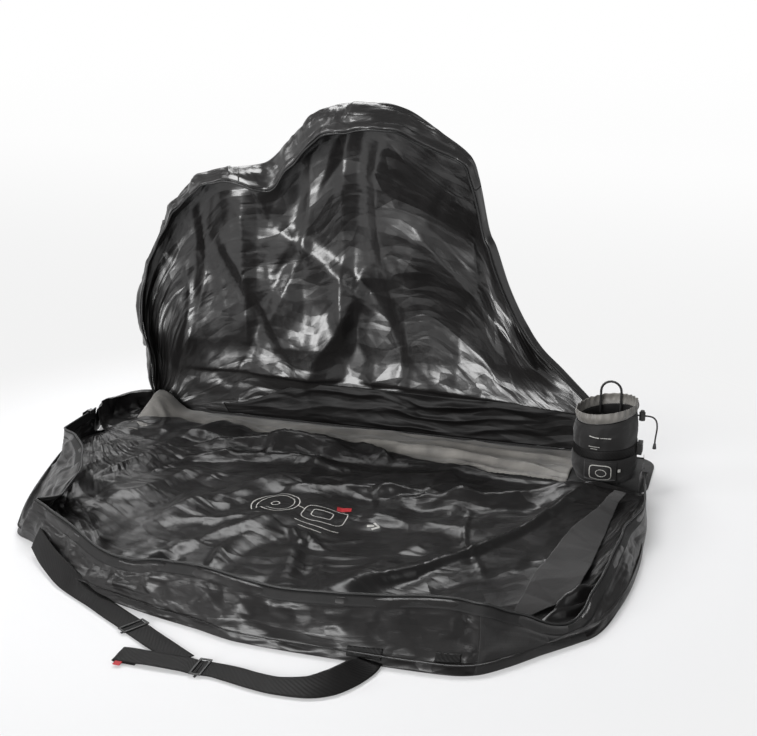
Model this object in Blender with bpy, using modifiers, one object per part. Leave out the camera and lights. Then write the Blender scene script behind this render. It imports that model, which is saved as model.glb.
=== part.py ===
# Soft bike travel bag, opened like a clam.
# Metres, +Z up, +X along the bag towards the fork pouch, +Y from the flat half to the standing half.
# The origin is the middle of the base panel's underside.
import math

import bmesh
import bpy
from mathutils import Matrix, Vector

# Base
BASE_LENGTH = 1.36
BASE_WIDTH = 0.24
BASE_THICKNESS = 0.005
BASE_CORNER = 0.03
LINING_THICKNESS = 0.0012
BINDING_WIDTH = 0.008
BINDING_THICKNESS = 0.002
BINDING_EDGE_GAP = 0.003
LINING_EDGE_GAP = 0.009
LINING_WIDTH = BASE_WIDTH - 2 * (BINDING_EDGE_GAP + BINDING_WIDTH + LINING_EDGE_GAP)
LINING_END_GAP = 0.008
END_SEAM = 0.019

# Cloth and clearances
CLOTH = 0.003
WEBBING = 0.0016
GAP = 0.0004
FOLD_GAP = 0.0006

# Front half, flat on the floor
FRONT_DEPTH = 0.92
WALL_HEIGHT = 0.085
WALL_INSET = 0.005
WALL_BULGE = 0.003
RIDGE_HEIGHT = 0.03
RIDGE_WIDTH = 0.058
RIDGE_END_SHARE = 0.07
SEAM_SHARE = 0.012
FRONT_ROWS = 16
FLAT_FOLD_SHARE = 0.016
FRONT_MIDDLE_SHARE = 0.5

# Back half, standing behind the base
BACK_HEIGHT = 0.88
BILLOW = 0.035
BACK_FOLD_DEPTH = 0.012
TOP_LEAN = 0.05
RIM_WIDTH = 0.055
RIM_TUCK = 0.03
KICK_HEIGHT = 0.11
BACK_RIDGE_HEIGHT = 0.03
BACK_RIDGE_WIDTH = 0.06
BACK_RIDGE_FOOT = 0.04
BACK_RIDGE_CLIMB = 0.06
BACK_COLUMNS = 44
BACK_ROWS = 20
BACK_FOLDS_SHARE = 4.5
BACK_FOLD_SLANT_SHARE = 0.06
LEVEL_FOOT_SHARE = 0.08

# Zip
TAPE_WIDTH = 0.022
TAPE_THICKNESS = 0.0014
COIL_RADIUS = 0.0024
SLIDER_LENGTH = 0.016
SLIDER_WALL = 0.0018
SLIDER_CLEARANCE = 0.0006
SLIDER_PARK = 0.02
LUG_LENGTH = 0.009
LUG_WIDTH = 0.004
LUG_HEIGHT = 0.0042
LUG_HOLE = 0.0028
PULL_LENGTH = 0.03
PULL_WIDTH = 0.009
PULL_THICKNESS = 0.0014
PULL_BAR = 0.0016
PULL_WINDOW = 0.0065

# Fork pouch, standing on the base
POUCH_END_DISTANCE = 0.115
POUCH_X = BASE_LENGTH / 2 - POUCH_END_DISTANCE
POUCH_Y = -0.012
POUCH_HALF_LENGTH = 0.074
POUCH_HALF_WIDTH = 0.082
POUCH_HEIGHT = 0.155
POUCH_SLOPE = 0.012
COLLAR_HEIGHT = 0.026
COLLAR_FLARE = 0.004
GATHER_DEPTH = 0.0025
GATHER_COUNT = 12
POUCH_SIDE_COUNT = 24
POUCH_RING_SHARES = [(0.0, 0.93), (0.14, 1.0), (0.38, 1.02), (0.62, 1.0), (1.0, 0.98)]
STRAP_BAND_HEIGHT = 0.024
STRAP_BAND_LEVEL = 0.0775
BUCKLE_LENGTH = 0.012
BUCKLE_WIDTH = 0.03
BUCKLE_HEIGHT = 0.028
BUCKLE_BAR = 0.003
PATCH_LEVEL = 0.0235
PATCH_HEIGHT = 0.034
PATCH_THICKNESS = 0.001
LOOP_RADIUS = 0.003
LOOP_SPAN = 0.05
LOOP_INSET = 0.0021
LOOP_HEIGHT = 0.062
LOOP_FOOT_DEPTH = 0.02

# Drawcord and its lock
CORD_RADIUS = 0.002
LOCK_RADIUS = 0.0075
LOCK_HEIGHT = 0.02
LOCK_DEPTH = 0.0115
LOCK_POINT_INDEX = 2
LOCK_FLOOR = 0.002
LOCK_BORE = 0.0027
PLUNGER_RADIUS = 0.0052
PLUNGER_PRESS = 0.002
PLUNGER_HEAD = 0.0045
SPRING_SPACE = 0.0052
SPRING_WIRE = 0.0003
SPRING_TURN_COUNT = 3
BEAD_LENGTH = 0.014
BEAD_RADIUS = 0.005
BEAD_TAPER_SHARE = 0.6

# Shoulder strap
STRAP_WIDTH = 0.048
STRAP_LIFT = 0.0028
STRAP_LEFT_LENGTH = 0.3
STRAP_HEADING_DEG = -31
STRAP_TAIL_LIFT = 0.0048
STRAP_TAIL_LENGTH = 0.165
STRAP_TAIL_RETURN = 0.05
STRAP_TAIL_HEADING_DEG = 180
STRAP_RETURN_LIFT = 0.0018
GLIDE_LENGTH = 0.024
GLIDE_BAR = 0.0042
GLIDE_THICKNESS = 0.0022
GLIDE_RIM = 0.004
TAB_WIDTH = 0.012
TAB_LENGTH = 0.014

# Outline of the front half and the top of its wall, from the left end of the fold round to the right.
# Outline x and y, wall top x and y, wall top height: shares of the base's half length, of the front
# depth (twice each) and of the wall height.
FRONT_EDGE_SHARES = [
    (-1.135, 0.005, -1.129, 0.005, 0.59),
    (-1.138, 0.087, -1.132, 0.087, 0.59),
    (-1.141, 0.168, -1.135, 0.168, 0.59),
    (-1.115, 0.272, -1.029, 0.274, 0.88),
    (-1.066, 0.413, -0.919, 0.391, 1.0),
    (-1.021, 0.522, -0.846, 0.511, 1.0),
    (-0.963, 0.630, -0.824, 0.620, 0.88),
    (-0.929, 0.672, -0.868, 0.668, 0.82),
    (-0.832, 0.712, -0.801, 0.704, 0.76),
    (-0.656, 0.837, -0.640, 0.793, 0.76),
    (-0.515, 0.889, -0.507, 0.853, 0.71),
    (-0.400, 0.916, -0.397, 0.875, 0.71),
    (-0.279, 0.942, -0.279, 0.897, 0.82),
    (-0.124, 0.968, -0.124, 0.913, 0.88),
    (0.031, 0.995, 0.031, 0.929, 0.88),
    (0.240, 1.0, 0.240, 0.929, 0.92),
    (0.441, 1.0, 0.441, 0.918, 0.96),
    (0.588, 0.997, 0.588, 0.897, 1.0),
    (0.693, 0.980, 0.681, 0.875, 1.0),
    (0.772, 0.929, 0.750, 0.853, 0.94),
    (0.846, 0.864, 0.824, 0.837, 0.82),
    (0.919, 0.804, 0.897, 0.793, 0.71),
    (0.974, 0.750, 0.941, 0.734, 0.71),
    (1.006, 0.663, 0.963, 0.652, 0.76),
    (1.034, 0.508, 0.988, 0.508, 0.82),
    (1.040, 0.382, 1.000, 0.382, 0.82),
    (1.0294, 0.250, 1.0265, 0.250, 0.59),
    (1.0118, 0.1277, 1.0088, 0.1277, 0.59),
    (0.9941, 0.0054, 0.9912, 0.0054, 0.59),
]
CANVAS_EDGE_PLACES_SHARES = (18, 21.5)
LEFT_EDGE_END_SHARE = 7.0

# Main ridges of the front panel: both ends as shares of the half length and of the front depth,
# then the height as a share of the ridge height.
FRONT_RIDGE_SHARES = [
    ((-0.62, 0.10), (0.0, 0.07), 0.9),
    ((-0.64, 0.19), (-0.02, 0.13), 0.5),
    ((0.02, 0.20), (0.40, 0.17), 0.6),
    ((0.30, 0.25), (0.74, 0.08), 1.0),
    ((0.10, 0.33), (0.50, 0.36), 0.7),
    ((-0.52, 0.55), (-0.24, 0.17), 0.9),
    ((-0.76, 0.44), (-0.60, 0.16), 0.7),
    ((-0.60, 0.62), (-0.50, 0.32), 0.6),
    ((-0.44, 0.78), (-0.10, 0.42), 0.7),
    ((-0.20, 0.84), (-0.10, 0.58), 0.6),
    ((0.12, 0.86), (-0.02, 0.55), 0.8),
    ((0.42, 0.62), (0.80, 0.10), 1.0),
    ((0.16, 0.80), (0.46, 0.50), 0.7),
    ((0.44, 0.86), (0.62, 0.60), 0.6),
]

# Outline of the back half: x as a share of the half length, z as a share of the back height.
BACK_EDGE_SHARES = [
    (-1.029, 0.011),
    (-1.062, 0.080),
    (-1.069, 0.159),
    (-1.096, 0.273),
    (-1.101, 0.364),
    (-1.066, 0.477),
    (-1.015, 0.559),
    (-0.949, 0.648),
    (-0.882, 0.710),
    (-0.797, 0.761),
    (-0.706, 0.786),
    (-0.618, 0.794),
    (-0.535, 0.805),
    (-0.419, 0.878),
    (-0.326, 0.944),
    (-0.240, 0.983),
    (-0.144, 0.997),
    (-0.049, 1.0),
    (0.046, 0.983),
    (0.169, 0.917),
    (0.268, 0.856),
    (0.303, 0.788),
    (0.341, 0.647),
    (0.372, 0.594),
    (0.422, 0.477),
    (0.485, 0.372),
    (0.550, 0.301),
    (0.632, 0.244),
    (0.735, 0.170),
    (0.838, 0.097),
    (0.926, 0.023),
]
BACK_CENTRE_SHARES = (-0.3, 0.4)
RIM_SPLIT_SHARES = (0.36, 0.70)
RIM_NARROWING_SHARES = (0.54, 0.72)
# Main folds of the back panel: both ends as shares of the half length and of the back height, then
# the depth as a share of the fold height.
BACK_RIDGE_SHARES = [
    ((-0.50, 0.735), (-0.10, 0.80), 0.7),
    ((-0.184, 0.795), (-0.176, 0.477), 1.0),
    ((-0.074, 0.818), (-0.051, 0.545), 0.8),
    ((0.081, 0.841), (0.132, 0.636), 0.6),
    ((0.216, 0.841), (0.221, 0.636), 0.7),
    ((0.0, 0.614), (0.231, 0.376), 1.0),
    ((0.176, 0.636), (0.43, 0.40), 0.8),
    ((0.27, 0.45), (0.52, 0.26), 0.7),
    ((0.07, 0.34), (0.44, 0.20), 0.7),
    ((-0.88, 0.57), (-0.93, 0.25), 0.8),
    ((-0.632, 0.68), (-0.635, 0.34), 0.9),
    ((-0.475, 0.578), (-0.265, 0.455), 0.8),
    ((-0.735, 0.50), (-0.82, 0.295), 0.5),
    ((-0.44, 0.364), (-0.376, 0.182), 0.6),
    ((-0.074, 0.455), (-0.176, 0.227), 0.6),
]
RIM_NARROW_SHARE = 0.12
KICK_SPAN_SHARES = (0.16, 0.90)

# Left and right end folds: y as a share of the base's half width, offset past the base's end as a
# share of the fold reach, height as a share of the fold height.
END_FOLD_HEIGHT = 0.06
LEFT_FOLD_REACH = 0.068
RIGHT_FOLD_REACH = 0.002
RIGHT_FOLD_END_SHARE = 2
END_FOLD_PROFILE_SHARES = [(0.0, 0.0), (0.6, 0.15), (1.0, 0.5), (0.8, 1.0)]
END_FOLD_SHARES = [(-0.96, 1.0, 0.8), (-0.5, 1.0, 1.0), (-0.1, 0.95, 1.0), (0.25, 0.8, 0.9), (0.55, 0.6, 0.6)]

# Drawcord's route, point by point, from the pouch's middle on the floor.
DRAWCORD_OFFSETS = [
    (0.0730, 0.0000, 0.1650),
    (0.0790, 0.0000, 0.1650),
    (0.0850, 0.0000, 0.1650),
    (0.0910, 0.0000, 0.1650),
    (0.0970, 0.0000, 0.1650),
    (0.1030, -0.0003, 0.1648),
    (0.1090, -0.0008, 0.1638),
    (0.1143, -0.0015, 0.1612),
    (0.1183, -0.0023, 0.1568),
    (0.1207, -0.0030, 0.1510),
    (0.1218, -0.0036, 0.1446),
    (0.1221, -0.0040, 0.1380),
    (0.1218, -0.0043, 0.1314),
    (0.1212, -0.0045, 0.1248),
    (0.1205, -0.0046, 0.1182),
    (0.1198, -0.0047, 0.1116),
    (0.1193, -0.0048, 0.1050),
    (0.1190, -0.0048, 0.0990),
]
DRAWCORD_POINTS = [(POUCH_X + x, POUCH_Y + y, z) for x, y, z in DRAWCORD_OFFSETS]

# Where the strap's two ends meet the front half's edge, as places along that edge.
STRAP_LEFT_PLACE_SHARE = 10.75
STRAP_RIGHT_PLACE_SHARE = 15.9
STRAP_PATCH_PLACES_SHARES = (8.5, 9.5)
STRAP_RIGHT_PATCH_SHARES = (15.5, 16.0)
LABEL_PLACES_SHARES = (17.0, 17.6)
PATCH_BAND_SHARES = (0.08, 0.46)
LABEL_BAND_SHARES = (0.12, 0.36)
# The right webbing's centre line from the end glide to the bag: shares of the run between them, along
# and out of that line, then the tilt as a share of the most tilt.
STRAP_RIGHT_SHARES = [
    (0.0, 0.0, 0.0),
    (0.25, 0.05, 0.1),
    (0.50, 0.13, 0.45),
    (0.70, 0.20, 0.9),
    (0.86, 0.20, 1.0),
    (0.97, 0.12, 0.6),
    (1.0, 0.0, 0.0),
]
STRAP_MOST_TILT_DEG = 40
RUNNING_GLIDE_SHARE = 0.42

# Reinforcement folded up beside the pouch: left edge, then right edge, as shares of the half length and
# front depth, with heights as shares of its rise.
REINFORCEMENT_RISE = 0.042
REINFORCEMENT_LEFT_SHARES = [(0.855, 0.055, 0.3), (0.84, 0.25, 0.9), (0.80, 0.45, 1.0), (0.74, 0.725, 0.7)]
REINFORCEMENT_RIGHT_SHARES = [(0.955, 0.055, 0.0), (0.965, 0.28, 0.0), (0.91, 0.53, 0.0), (0.78, 0.74, 0.0)]

HALF_LENGTH = BASE_LENGTH / 2
HALF_WIDTH = BASE_WIDTH / 2
BACK_RIDGES = [
    (Vector((a * HALF_LENGTH, 0, low * BACK_HEIGHT)), Vector((b * HALF_LENGTH, 0, high * BACK_HEIGHT)), rise)
    for (a, low), (b, high), rise in BACK_RIDGE_SHARES
]
COLOURS = {
    "coated_cloth": (0.025, 0.024, 0.024, 0.4, 0.0),
    "canvas": (0.04, 0.04, 0.04, 0.8, 0.0),
    "grey_lining": (0.28, 0.27, 0.26, 0.6, 0.0),
    "webbing": (0.03, 0.03, 0.03, 0.8, 0.0),
    "plastic": (0.02, 0.02, 0.02, 0.45, 0.0),
    "metal": (0.5, 0.5, 0.5, 0.3, 1.0),
    "red_label": (0.6, 0.03, 0.02, 0.7, 0.0),
    "print": (0.7, 0.7, 0.68, 0.6, 0.0),
}


def clear_scene():
    for obj in list(bpy.data.objects):
        bpy.data.objects.remove(obj)


def make_collection(name):
    collection = bpy.data.collections.new(name)
    bpy.context.scene.collection.children.link(collection)
    return collection


def make_material(name):
    red, green, blue, roughness, metallic = COLOURS[name]
    material = bpy.data.materials.get(name) or bpy.data.materials.new(name)
    material.use_nodes = True
    shader = material.node_tree.nodes["Principled BSDF"]
    shader.inputs["Base Color"].default_value = (red, green, blue, 1)
    shader.inputs["Roughness"].default_value = roughness
    shader.inputs["Metallic"].default_value = metallic
    return material


def add_object(name, data, finish, holder=None):
    """Links a finished piece to the bag, and to the empty on its joint's axis."""
    obj = bpy.data.objects.new(name, data)
    PARTS.objects.link(obj)
    data.materials.append(make_material(finish))
    if holder:
        obj.parent = holder
        obj.matrix_parent_inverse = holder.matrix_world.inverted()
    return obj


def make_holder(name, place, holder=None):
    empty = bpy.data.objects.new(name, None)
    PARTS.objects.link(empty)
    empty.location = place
    bpy.context.view_layer.update()
    if holder:
        empty.parent = holder
        empty.matrix_parent_inverse = holder.matrix_world.inverted()
        bpy.context.view_layer.update()
    return empty


def mesh_from(bm, name):
    mesh = bpy.data.meshes.new(name)
    bm.to_mesh(mesh)
    bm.free()
    return mesh


def eased_slope(before, after):
    """Slope of a curve at a point between two steps, which never carries it past the point."""
    if before * after <= 0:
        return 0.0
    return math.copysign(min(abs(before + after) / 2, 2 * abs(before), 2 * abs(after)), after)


def smooth_rows(rows, place):
    """A point of a smooth curve through the rows, where place counts rows from zero."""
    last = len(rows) - 1
    index = min(max(int(math.floor(place)), 0), last - 1)
    share = place - index
    before = rows[index - 1] if index > 0 else None
    start, end = rows[index], rows[index + 1]
    after = rows[index + 2] if index + 2 <= last else None
    result = []
    for axis in range(len(start)):
        p1, p2 = start[axis], end[axis]
        p0 = before[axis] if before else 2 * p1 - p2
        p3 = after[axis] if after else 2 * p2 - p1
        slope1, slope2 = eased_slope(p1 - p0, p2 - p1), eased_slope(p2 - p1, p3 - p2)
        a = 2 * p1 - 2 * p2 + slope1 + slope2
        b = 3 * (p2 - p1) - 2 * slope1 - slope2
        result.append(((a * share + b) * share + slope1) * share + p1)
    return result


def steps(start, end, count):
    return [start + (end - start) * i / count for i in range(count + 1)]


def sheet(name, rows, thickness, finish, holder=None, side=1):
    """An open grid through rows of points, given a thickness on one side of it."""
    bm = bmesh.new()
    across, along = len(rows[0]), len(rows)
    bmesh.ops.create_grid(bm, x_segments=across - 1, y_segments=along - 1, size=1)
    bm.verts.ensure_lookup_table()
    for j, row in enumerate(rows):
        for i, point in enumerate(row):
            bm.verts[j * across + i].co = point
    obj = add_object(name, mesh_from(bm, name), finish, holder)
    solid = obj.modifiers.new("thickness", "SOLIDIFY")
    solid.thickness = thickness
    solid.offset = side
    return obj


def ring_sheet(name, rings, thickness, finish, holder=None, side=1, floor=False):
    """A closed band of rings, open at both ends, given a thickness."""
    bm = bmesh.new()
    previous = None
    for ring in rings:
        capped = floor and previous is None
        made = bmesh.ops.create_circle(bm, cap_ends=capped, segments=len(ring), radius=1)["verts"]
        edges = list({edge for vert in made for edge in vert.link_edges})
        for vert, point in zip(made, ring):
            vert.co = point
        if previous:
            bmesh.ops.bridge_loops(bm, edges=previous + edges)
        previous = edges
    bmesh.ops.recalc_face_normals(bm, faces=bm.faces)
    obj = add_object(name, mesh_from(bm, name), finish, holder)
    solid = obj.modifiers.new("thickness", "SOLIDIFY")
    solid.thickness = thickness
    solid.offset = side
    return obj


def tube(name, points, radius, finish, holder=None, sides_step=2):
    curve = bpy.data.curves.new(name, "CURVE")
    curve.dimensions = "3D"
    spline = curve.splines.new("POLY")
    spline.points.add(len(points) - 1)
    for knot, point in zip(spline.points, points):
        knot.co = (*point, 1)
    curve.bevel_depth = radius
    curve.bevel_resolution = sides_step
    curve.use_fill_caps = True
    return add_object(name, curve, finish, holder)


def box_mesh(bm, size, matrix=Matrix.Identity(4)):
    scale = Matrix.Diagonal((*size, 1))
    return bmesh.ops.create_cube(bm, size=1, matrix=matrix @ scale)["verts"]


def box(name, centre, size, finish, holder=None, turn=Matrix.Identity(4)):
    bm = bmesh.new()
    box_mesh(bm, size, Matrix.Translation(centre) @ turn)
    return add_object(name, mesh_from(bm, name), finish, holder)


def cut(obj, cutter_mesh, label, operation="DIFFERENCE"):
    """Cuts or joins a piece with a mesh in world coordinates."""
    cutter = bpy.data.objects.new(f"{obj.name}_{label}", cutter_mesh)
    CUTTERS.objects.link(cutter)
    cutter.hide_render = True
    cutter.display_type = "WIRE"
    boolean = obj.modifiers.new(label, "BOOLEAN")
    boolean.operation = operation
    boolean.object = cutter
    boolean.solver = "EXACT"


def cutter_box(size, matrix, name):
    bm = bmesh.new()
    box_mesh(bm, size, matrix)
    return mesh_from(bm, name)


def cutter_rod(radius, depth, matrix, name, segments=16):
    bm = bmesh.new()
    bmesh.ops.create_cone(
        bm, cap_ends=True, segments=segments, radius1=radius, radius2=radius, depth=depth, matrix=matrix
    )
    return mesh_from(bm, name)


# Front half
def front_point(x_share, y_share, height=0.0):
    return Vector((x_share * HALF_LENGTH, -HALF_WIDTH - y_share * FRONT_DEPTH, height))


def front_edge(place):
    """The outline on the floor and the top of the wall above it, at a place along the edge."""
    x, y, top_x, top_y, rise = smooth_rows(FRONT_EDGE_SHARES, place)
    return front_point(x, y), front_point(top_x, top_y, rise * WALL_HEIGHT)


def front_places(start, end, per_row):
    """Places along the edge: both ends, and each whole part of a row between them."""
    first = math.floor(start * per_row + SEAM_SHARE) + 1
    last = math.ceil(end * per_row - SEAM_SHARE) - 1
    return [start] + [place / per_row for place in range(first, last + 1)] + [end]


def wall_rows(start, end, per_row=2):
    """Inner face of the wall between two places of the edge: foot, belly and top."""
    feet, bellies, tops = [], [], []
    for place in front_places(start, end, per_row):
        foot, top = front_edge(place)
        inward = (front_point(0, FRONT_MIDDLE_SHARE) - foot).normalized()
        foot = foot + inward * WALL_INSET + Vector((0, 0, CLOTH + 2 * GAP))
        belly = foot.lerp(top, 0.5) - inward * WALL_BULGE
        feet.append(foot)
        bellies.append(belly)
        tops.append(top)
    return [feet, bellies, tops]


def tape_rows(start, end, per_row=2):
    """Zip tape that carries on from the wall's top."""
    _, bellies, tops = wall_rows(start, end, per_row)
    low, high = [], []
    for belly, top in zip(bellies, tops):
        slope = (top - belly).normalized()
        low.append(top + slope * 2 * GAP)
        high.append(top + slope * (2 * GAP + TAPE_WIDTH))
    return [low, high]


def coil_line(start, end, per_row=2):
    low, high = tape_rows(start, end, per_row)
    line = []
    for near, far in zip(low, high):
        slope = (far - near).normalized()
        line.append(far + slope * (COIL_RADIUS + 2 * GAP))
    return line


def ridge_height(point, ridges, width):
    """Height of the main folds of a panel at a point of it, as a share of the fold height."""
    height = 0.0
    for a, b, rise in ridges:
        span = b - a
        along = min(max((point - a).dot(span) / span.length_squared, 0), 1)
        away = (point - (a + span * along)).length / width
        if away < 1:
            taper = min(1, 4 * along, 4 * (1 - along))
            height = max(height, rise * taper * (1 - away))
    return height


def make_front_half():
    holder = make_holder("front_half_fold", (0, -HALF_WIDTH, CLOTH))
    last = len(FRONT_EDGE_SHARES) - 1
    places = front_places(0, last, 2)
    fold_line, first = [], FRONT_EDGE_SHARES[0][0]
    for place in places:
        x_share = first + (FRONT_EDGE_SHARES[last][0] - first) * place / last
        fold_line.append(front_point(x_share, 0) - Vector((0, FOLD_GAP, 0)))
    ridges = [(front_point(*a), front_point(*b), rise) for a, b, rise in FRONT_RIDGE_SHARES]
    rows = []
    for v in [0] + steps(FLAT_FOLD_SHARE, 1, FRONT_ROWS):
        row = []
        for place, near in zip(places, fold_line):
            point = near.lerp(front_edge(place)[0], v)
            ease = min(1, 10 * max(v - FLAT_FOLD_SHARE, 0), 8 * max(1 - RIDGE_END_SHARE - v, 0))
            rise = ease * RIDGE_HEIGHT * ridge_height(point, ridges, RIDGE_WIDTH)
            row.append(point + Vector((0, 0, CLOTH + rise)))
        rows.append(row)
    sheet("front_panel", rows, CLOTH, "coated_cloth", holder)
    canvas_start, canvas_end = CANVAS_EDGE_PLACES_SHARES
    spans = {
        "front_gusset_left": (0, LEFT_EDGE_END_SHARE, "coated_cloth"),
        "front_gusset_top": (LEFT_EDGE_END_SHARE, canvas_start, "coated_cloth"),
        "front_gusset_canvas": (canvas_start, canvas_end, "canvas"),
        "front_gusset_right": (canvas_end, last, "coated_cloth"),
    }
    for name, (start, end, finish) in spans.items():
        sheet(name, wall_rows(start + SEAM_SHARE, end - SEAM_SHARE), CLOTH, finish, holder)
    sheet("front_zip_tape", tape_rows(0, last), TAPE_THICKNESS, "webbing", holder)
    tube("front_zip_coil", coil_line(0, last), COIL_RADIUS, "plastic", holder, sides_step=1)
    return holder


# Back half
def back_edge(place):
    x, z = smooth_rows(BACK_EDGE_SHARES, place)
    return x * HALF_LENGTH, z * BACK_HEIGHT


def back_point(u, v):
    """A point of the back panel's inner face: u along its edge, v from the fold up to the edge."""
    last = len(BACK_EDGE_SHARES) - 1
    left, right = BACK_EDGE_SHARES[0][0] * HALF_LENGTH, BACK_EDGE_SHARES[last][0] * HALF_LENGTH
    edge_x, edge_z = back_edge(u * last)
    low = Vector((left + (right - left) * u, 0, CLOTH))
    x = low.x + (edge_x - low.x) * v
    z = low.z + (edge_z - low.z) * v
    climb = min(1, z / BACK_HEIGHT)
    billow = BILLOW * math.sin(math.pi * climb)
    wave = math.sin(2 * math.pi * BACK_FOLDS_SHARE * (u + BACK_FOLD_SLANT_SHARE * v))
    y = HALF_WIDTH + FOLD_GAP + billow + BACK_FOLD_DEPTH * min(1, 4 * climb) * wave - TOP_LEAN * climb**2
    if climb < LEVEL_FOOT_SHARE:
        y = max(y, HALF_WIDTH + FOLD_GAP)
    foot = (z - KICK_HEIGHT - BACK_RIDGE_FOOT) / BACK_RIDGE_CLIMB
    ease = max(min(1, 8 * (1 - RIDGE_END_SHARE - v), foot), 0)
    y -= ease * BACK_RIDGE_HEIGHT * ridge_height(Vector((x, 0, z)), BACK_RIDGES, BACK_RIDGE_WIDTH)
    return Vector((x, y, z))


def back_rim(u, share):
    """A point of the gusset that comes forward from the back panel's edge."""
    edge = back_point(u, 1)
    centre = Vector((BACK_CENTRE_SHARES[0] * HALF_LENGTH, edge.y, BACK_CENTRE_SHARES[1] * BACK_HEIGHT))
    tuck = (centre - edge).normalized() * RIM_TUCK * share**2
    start, end = RIM_NARROWING_SHARES
    narrowing = min(max((u - start) / (end - start), 0), 1)
    ease = min(1, 12 * u + 0.3) * (1 - (1 - RIM_NARROW_SHARE) * narrowing)
    return edge + tuck * ease + Vector((0, -GAP - RIM_WIDTH * share * ease, 0))


def make_back_half():
    holder = make_holder("back_half_fold", (0, HALF_WIDTH + FOLD_GAP, CLOTH))
    columns = steps(0, 1, BACK_COLUMNS)
    rows = [[back_point(u, v) for u in columns] for v in steps(0, 1, BACK_ROWS)]
    sheet("back_panel", rows, CLOTH, "coated_cloth", holder, side=-1)
    kick_start, kick_end = [round(share * BACK_COLUMNS) for share in KICK_SPAN_SHARES]
    kick_columns = columns[kick_start : kick_end + 1]
    kick = []
    for level in steps(BASE_THICKNESS + BINDING_THICKNESS, KICK_HEIGHT, 3):
        row = []
        for u in kick_columns:
            reach = max(back_edge(u * (len(BACK_EDGE_SHARES) - 1))[1] - CLOTH, 2 * KICK_HEIGHT)
            row.append(back_point(u, level / reach) - Vector((0, 3 * GAP, 0)))
        kick.append(row)
    sheet("back_kick_strip", kick, WEBBING, "canvas", holder)
    rim = [[back_rim(u, share) for share in (0, 0.5, 1)] for u in columns]
    split_left, split_right = [round(share * BACK_COLUMNS) for share in RIM_SPLIT_SHARES]
    spans = {
        "back_gusset_left": (0, split_left),
        "back_gusset_top": (split_left, split_right),
        "back_gusset_right": (split_right, BACK_COLUMNS),
    }
    for name, (start, end) in spans.items():
        strips = [list(column) for column in rim[start : end + 1]]
        strips[0] = [a.lerp(b, SEAM_SHARE) for a, b in zip(strips[0], strips[1])]
        strips[-1] = [a.lerp(b, SEAM_SHARE) for a, b in zip(strips[-1], strips[-2])]
        sheet(name, list(zip(*strips)), CLOTH, "coated_cloth", holder, side=-1)
    low, high, line = [], [], []
    for _, near, far in rim:
        slope = (far - near).normalized()
        low.append(far + slope * GAP)
        high.append(far + slope * (GAP + TAPE_WIDTH))
        line.append(far + slope * (3 * GAP + TAPE_WIDTH + COIL_RADIUS))
    sheet("back_zip_tape", [low, high], TAPE_THICKNESS, "webbing", holder, side=-1)
    tube("back_zip_coil", line, COIL_RADIUS, "plastic", holder, sides_step=1)
    return holder


# Base
def make_base():
    bm = bmesh.new()
    middle = Matrix.Translation((0, 0, BASE_THICKNESS / 2))
    box_mesh(bm, (BASE_LENGTH, BASE_WIDTH, BASE_THICKNESS), middle)
    upright = [edge for edge in bm.edges if abs((edge.verts[0].co - edge.verts[1].co).z) > GAP]
    bmesh.ops.bevel(bm, geom=upright, offset=BASE_CORNER, segments=4, profile=0.5, affect="EDGES")
    add_object("base_panel", mesh_from(bm, "base_panel"), "coated_cloth")
    start = -HALF_LENGTH + BASE_CORNER
    end = POUCH_X - POUCH_HALF_LENGTH - LINING_END_GAP
    level = BASE_THICKNESS + GAP + LINING_THICKNESS / 2
    size = (end - start, LINING_WIDTH, LINING_THICKNESS)
    box("base_lining", ((start + end) / 2, 0, level), size, "grey_lining")
    for name, side in (("front_seam_binding", -1), ("rear_seam_binding", 1)):
        place = HALF_WIDTH - BINDING_EDGE_GAP - BINDING_WIDTH / 2
        size = (BASE_LENGTH - 2 * BASE_CORNER, BINDING_WIDTH, BINDING_THICKNESS)
        centre = (0, side * place, BASE_THICKNESS + GAP + BINDING_THICKNESS / 2)
        box(name, centre, size, "webbing")
    make_end_fold("left_end_fold", -1, LEFT_FOLD_REACH, len(END_FOLD_SHARES) - 1)
    make_end_fold("right_end_fold", 1, RIGHT_FOLD_REACH, RIGHT_FOLD_END_SHARE)


def make_end_fold(name, side, reach, last):
    """Cloth that stands up along an end of the base, between the two halves."""
    root = HALF_LENGTH - END_SEAM
    rows = [[] for _ in END_FOLD_PROFILE_SHARES]
    for place in steps(0, last, 3 * last):
        y, bulge, rise = smooth_rows(END_FOLD_SHARES, place)
        for row, (out, up) in zip(rows, END_FOLD_PROFILE_SHARES):
            x = side * (root + reach * bulge * out)
            row.append(Vector((x, y * HALF_WIDTH, BASE_THICKNESS + GAP + rise * up * END_FOLD_HEIGHT)))
    sheet(name, rows, CLOTH, "coated_cloth", side=-side)


# Fork pouch
def pouch_point(angle, level, grow=0.0):
    """A point of the pouch's outer face, grown outwards, at a level above the base panel."""
    share = level / POUCH_HEIGHT
    for (low, low_size), (high, high_size) in zip(POUCH_RING_SHARES, POUCH_RING_SHARES[1:]):
        if share <= high or high == POUCH_RING_SHARES[-1][0]:
            size = low_size + (high_size - low_size) * (share - low) / (high - low)
            break
    x = (POUCH_HALF_LENGTH * size + grow) * math.cos(angle)
    y = (POUCH_HALF_WIDTH * size + grow) * math.sin(angle)
    tilt = POUCH_SLOPE * math.cos(angle) * share**2
    return Vector((POUCH_X + x, POUCH_Y + y, BASE_THICKNESS + GAP + level + tilt))


def turn_angles(count):
    return [2 * math.pi * i / count for i in range(count)]


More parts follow.
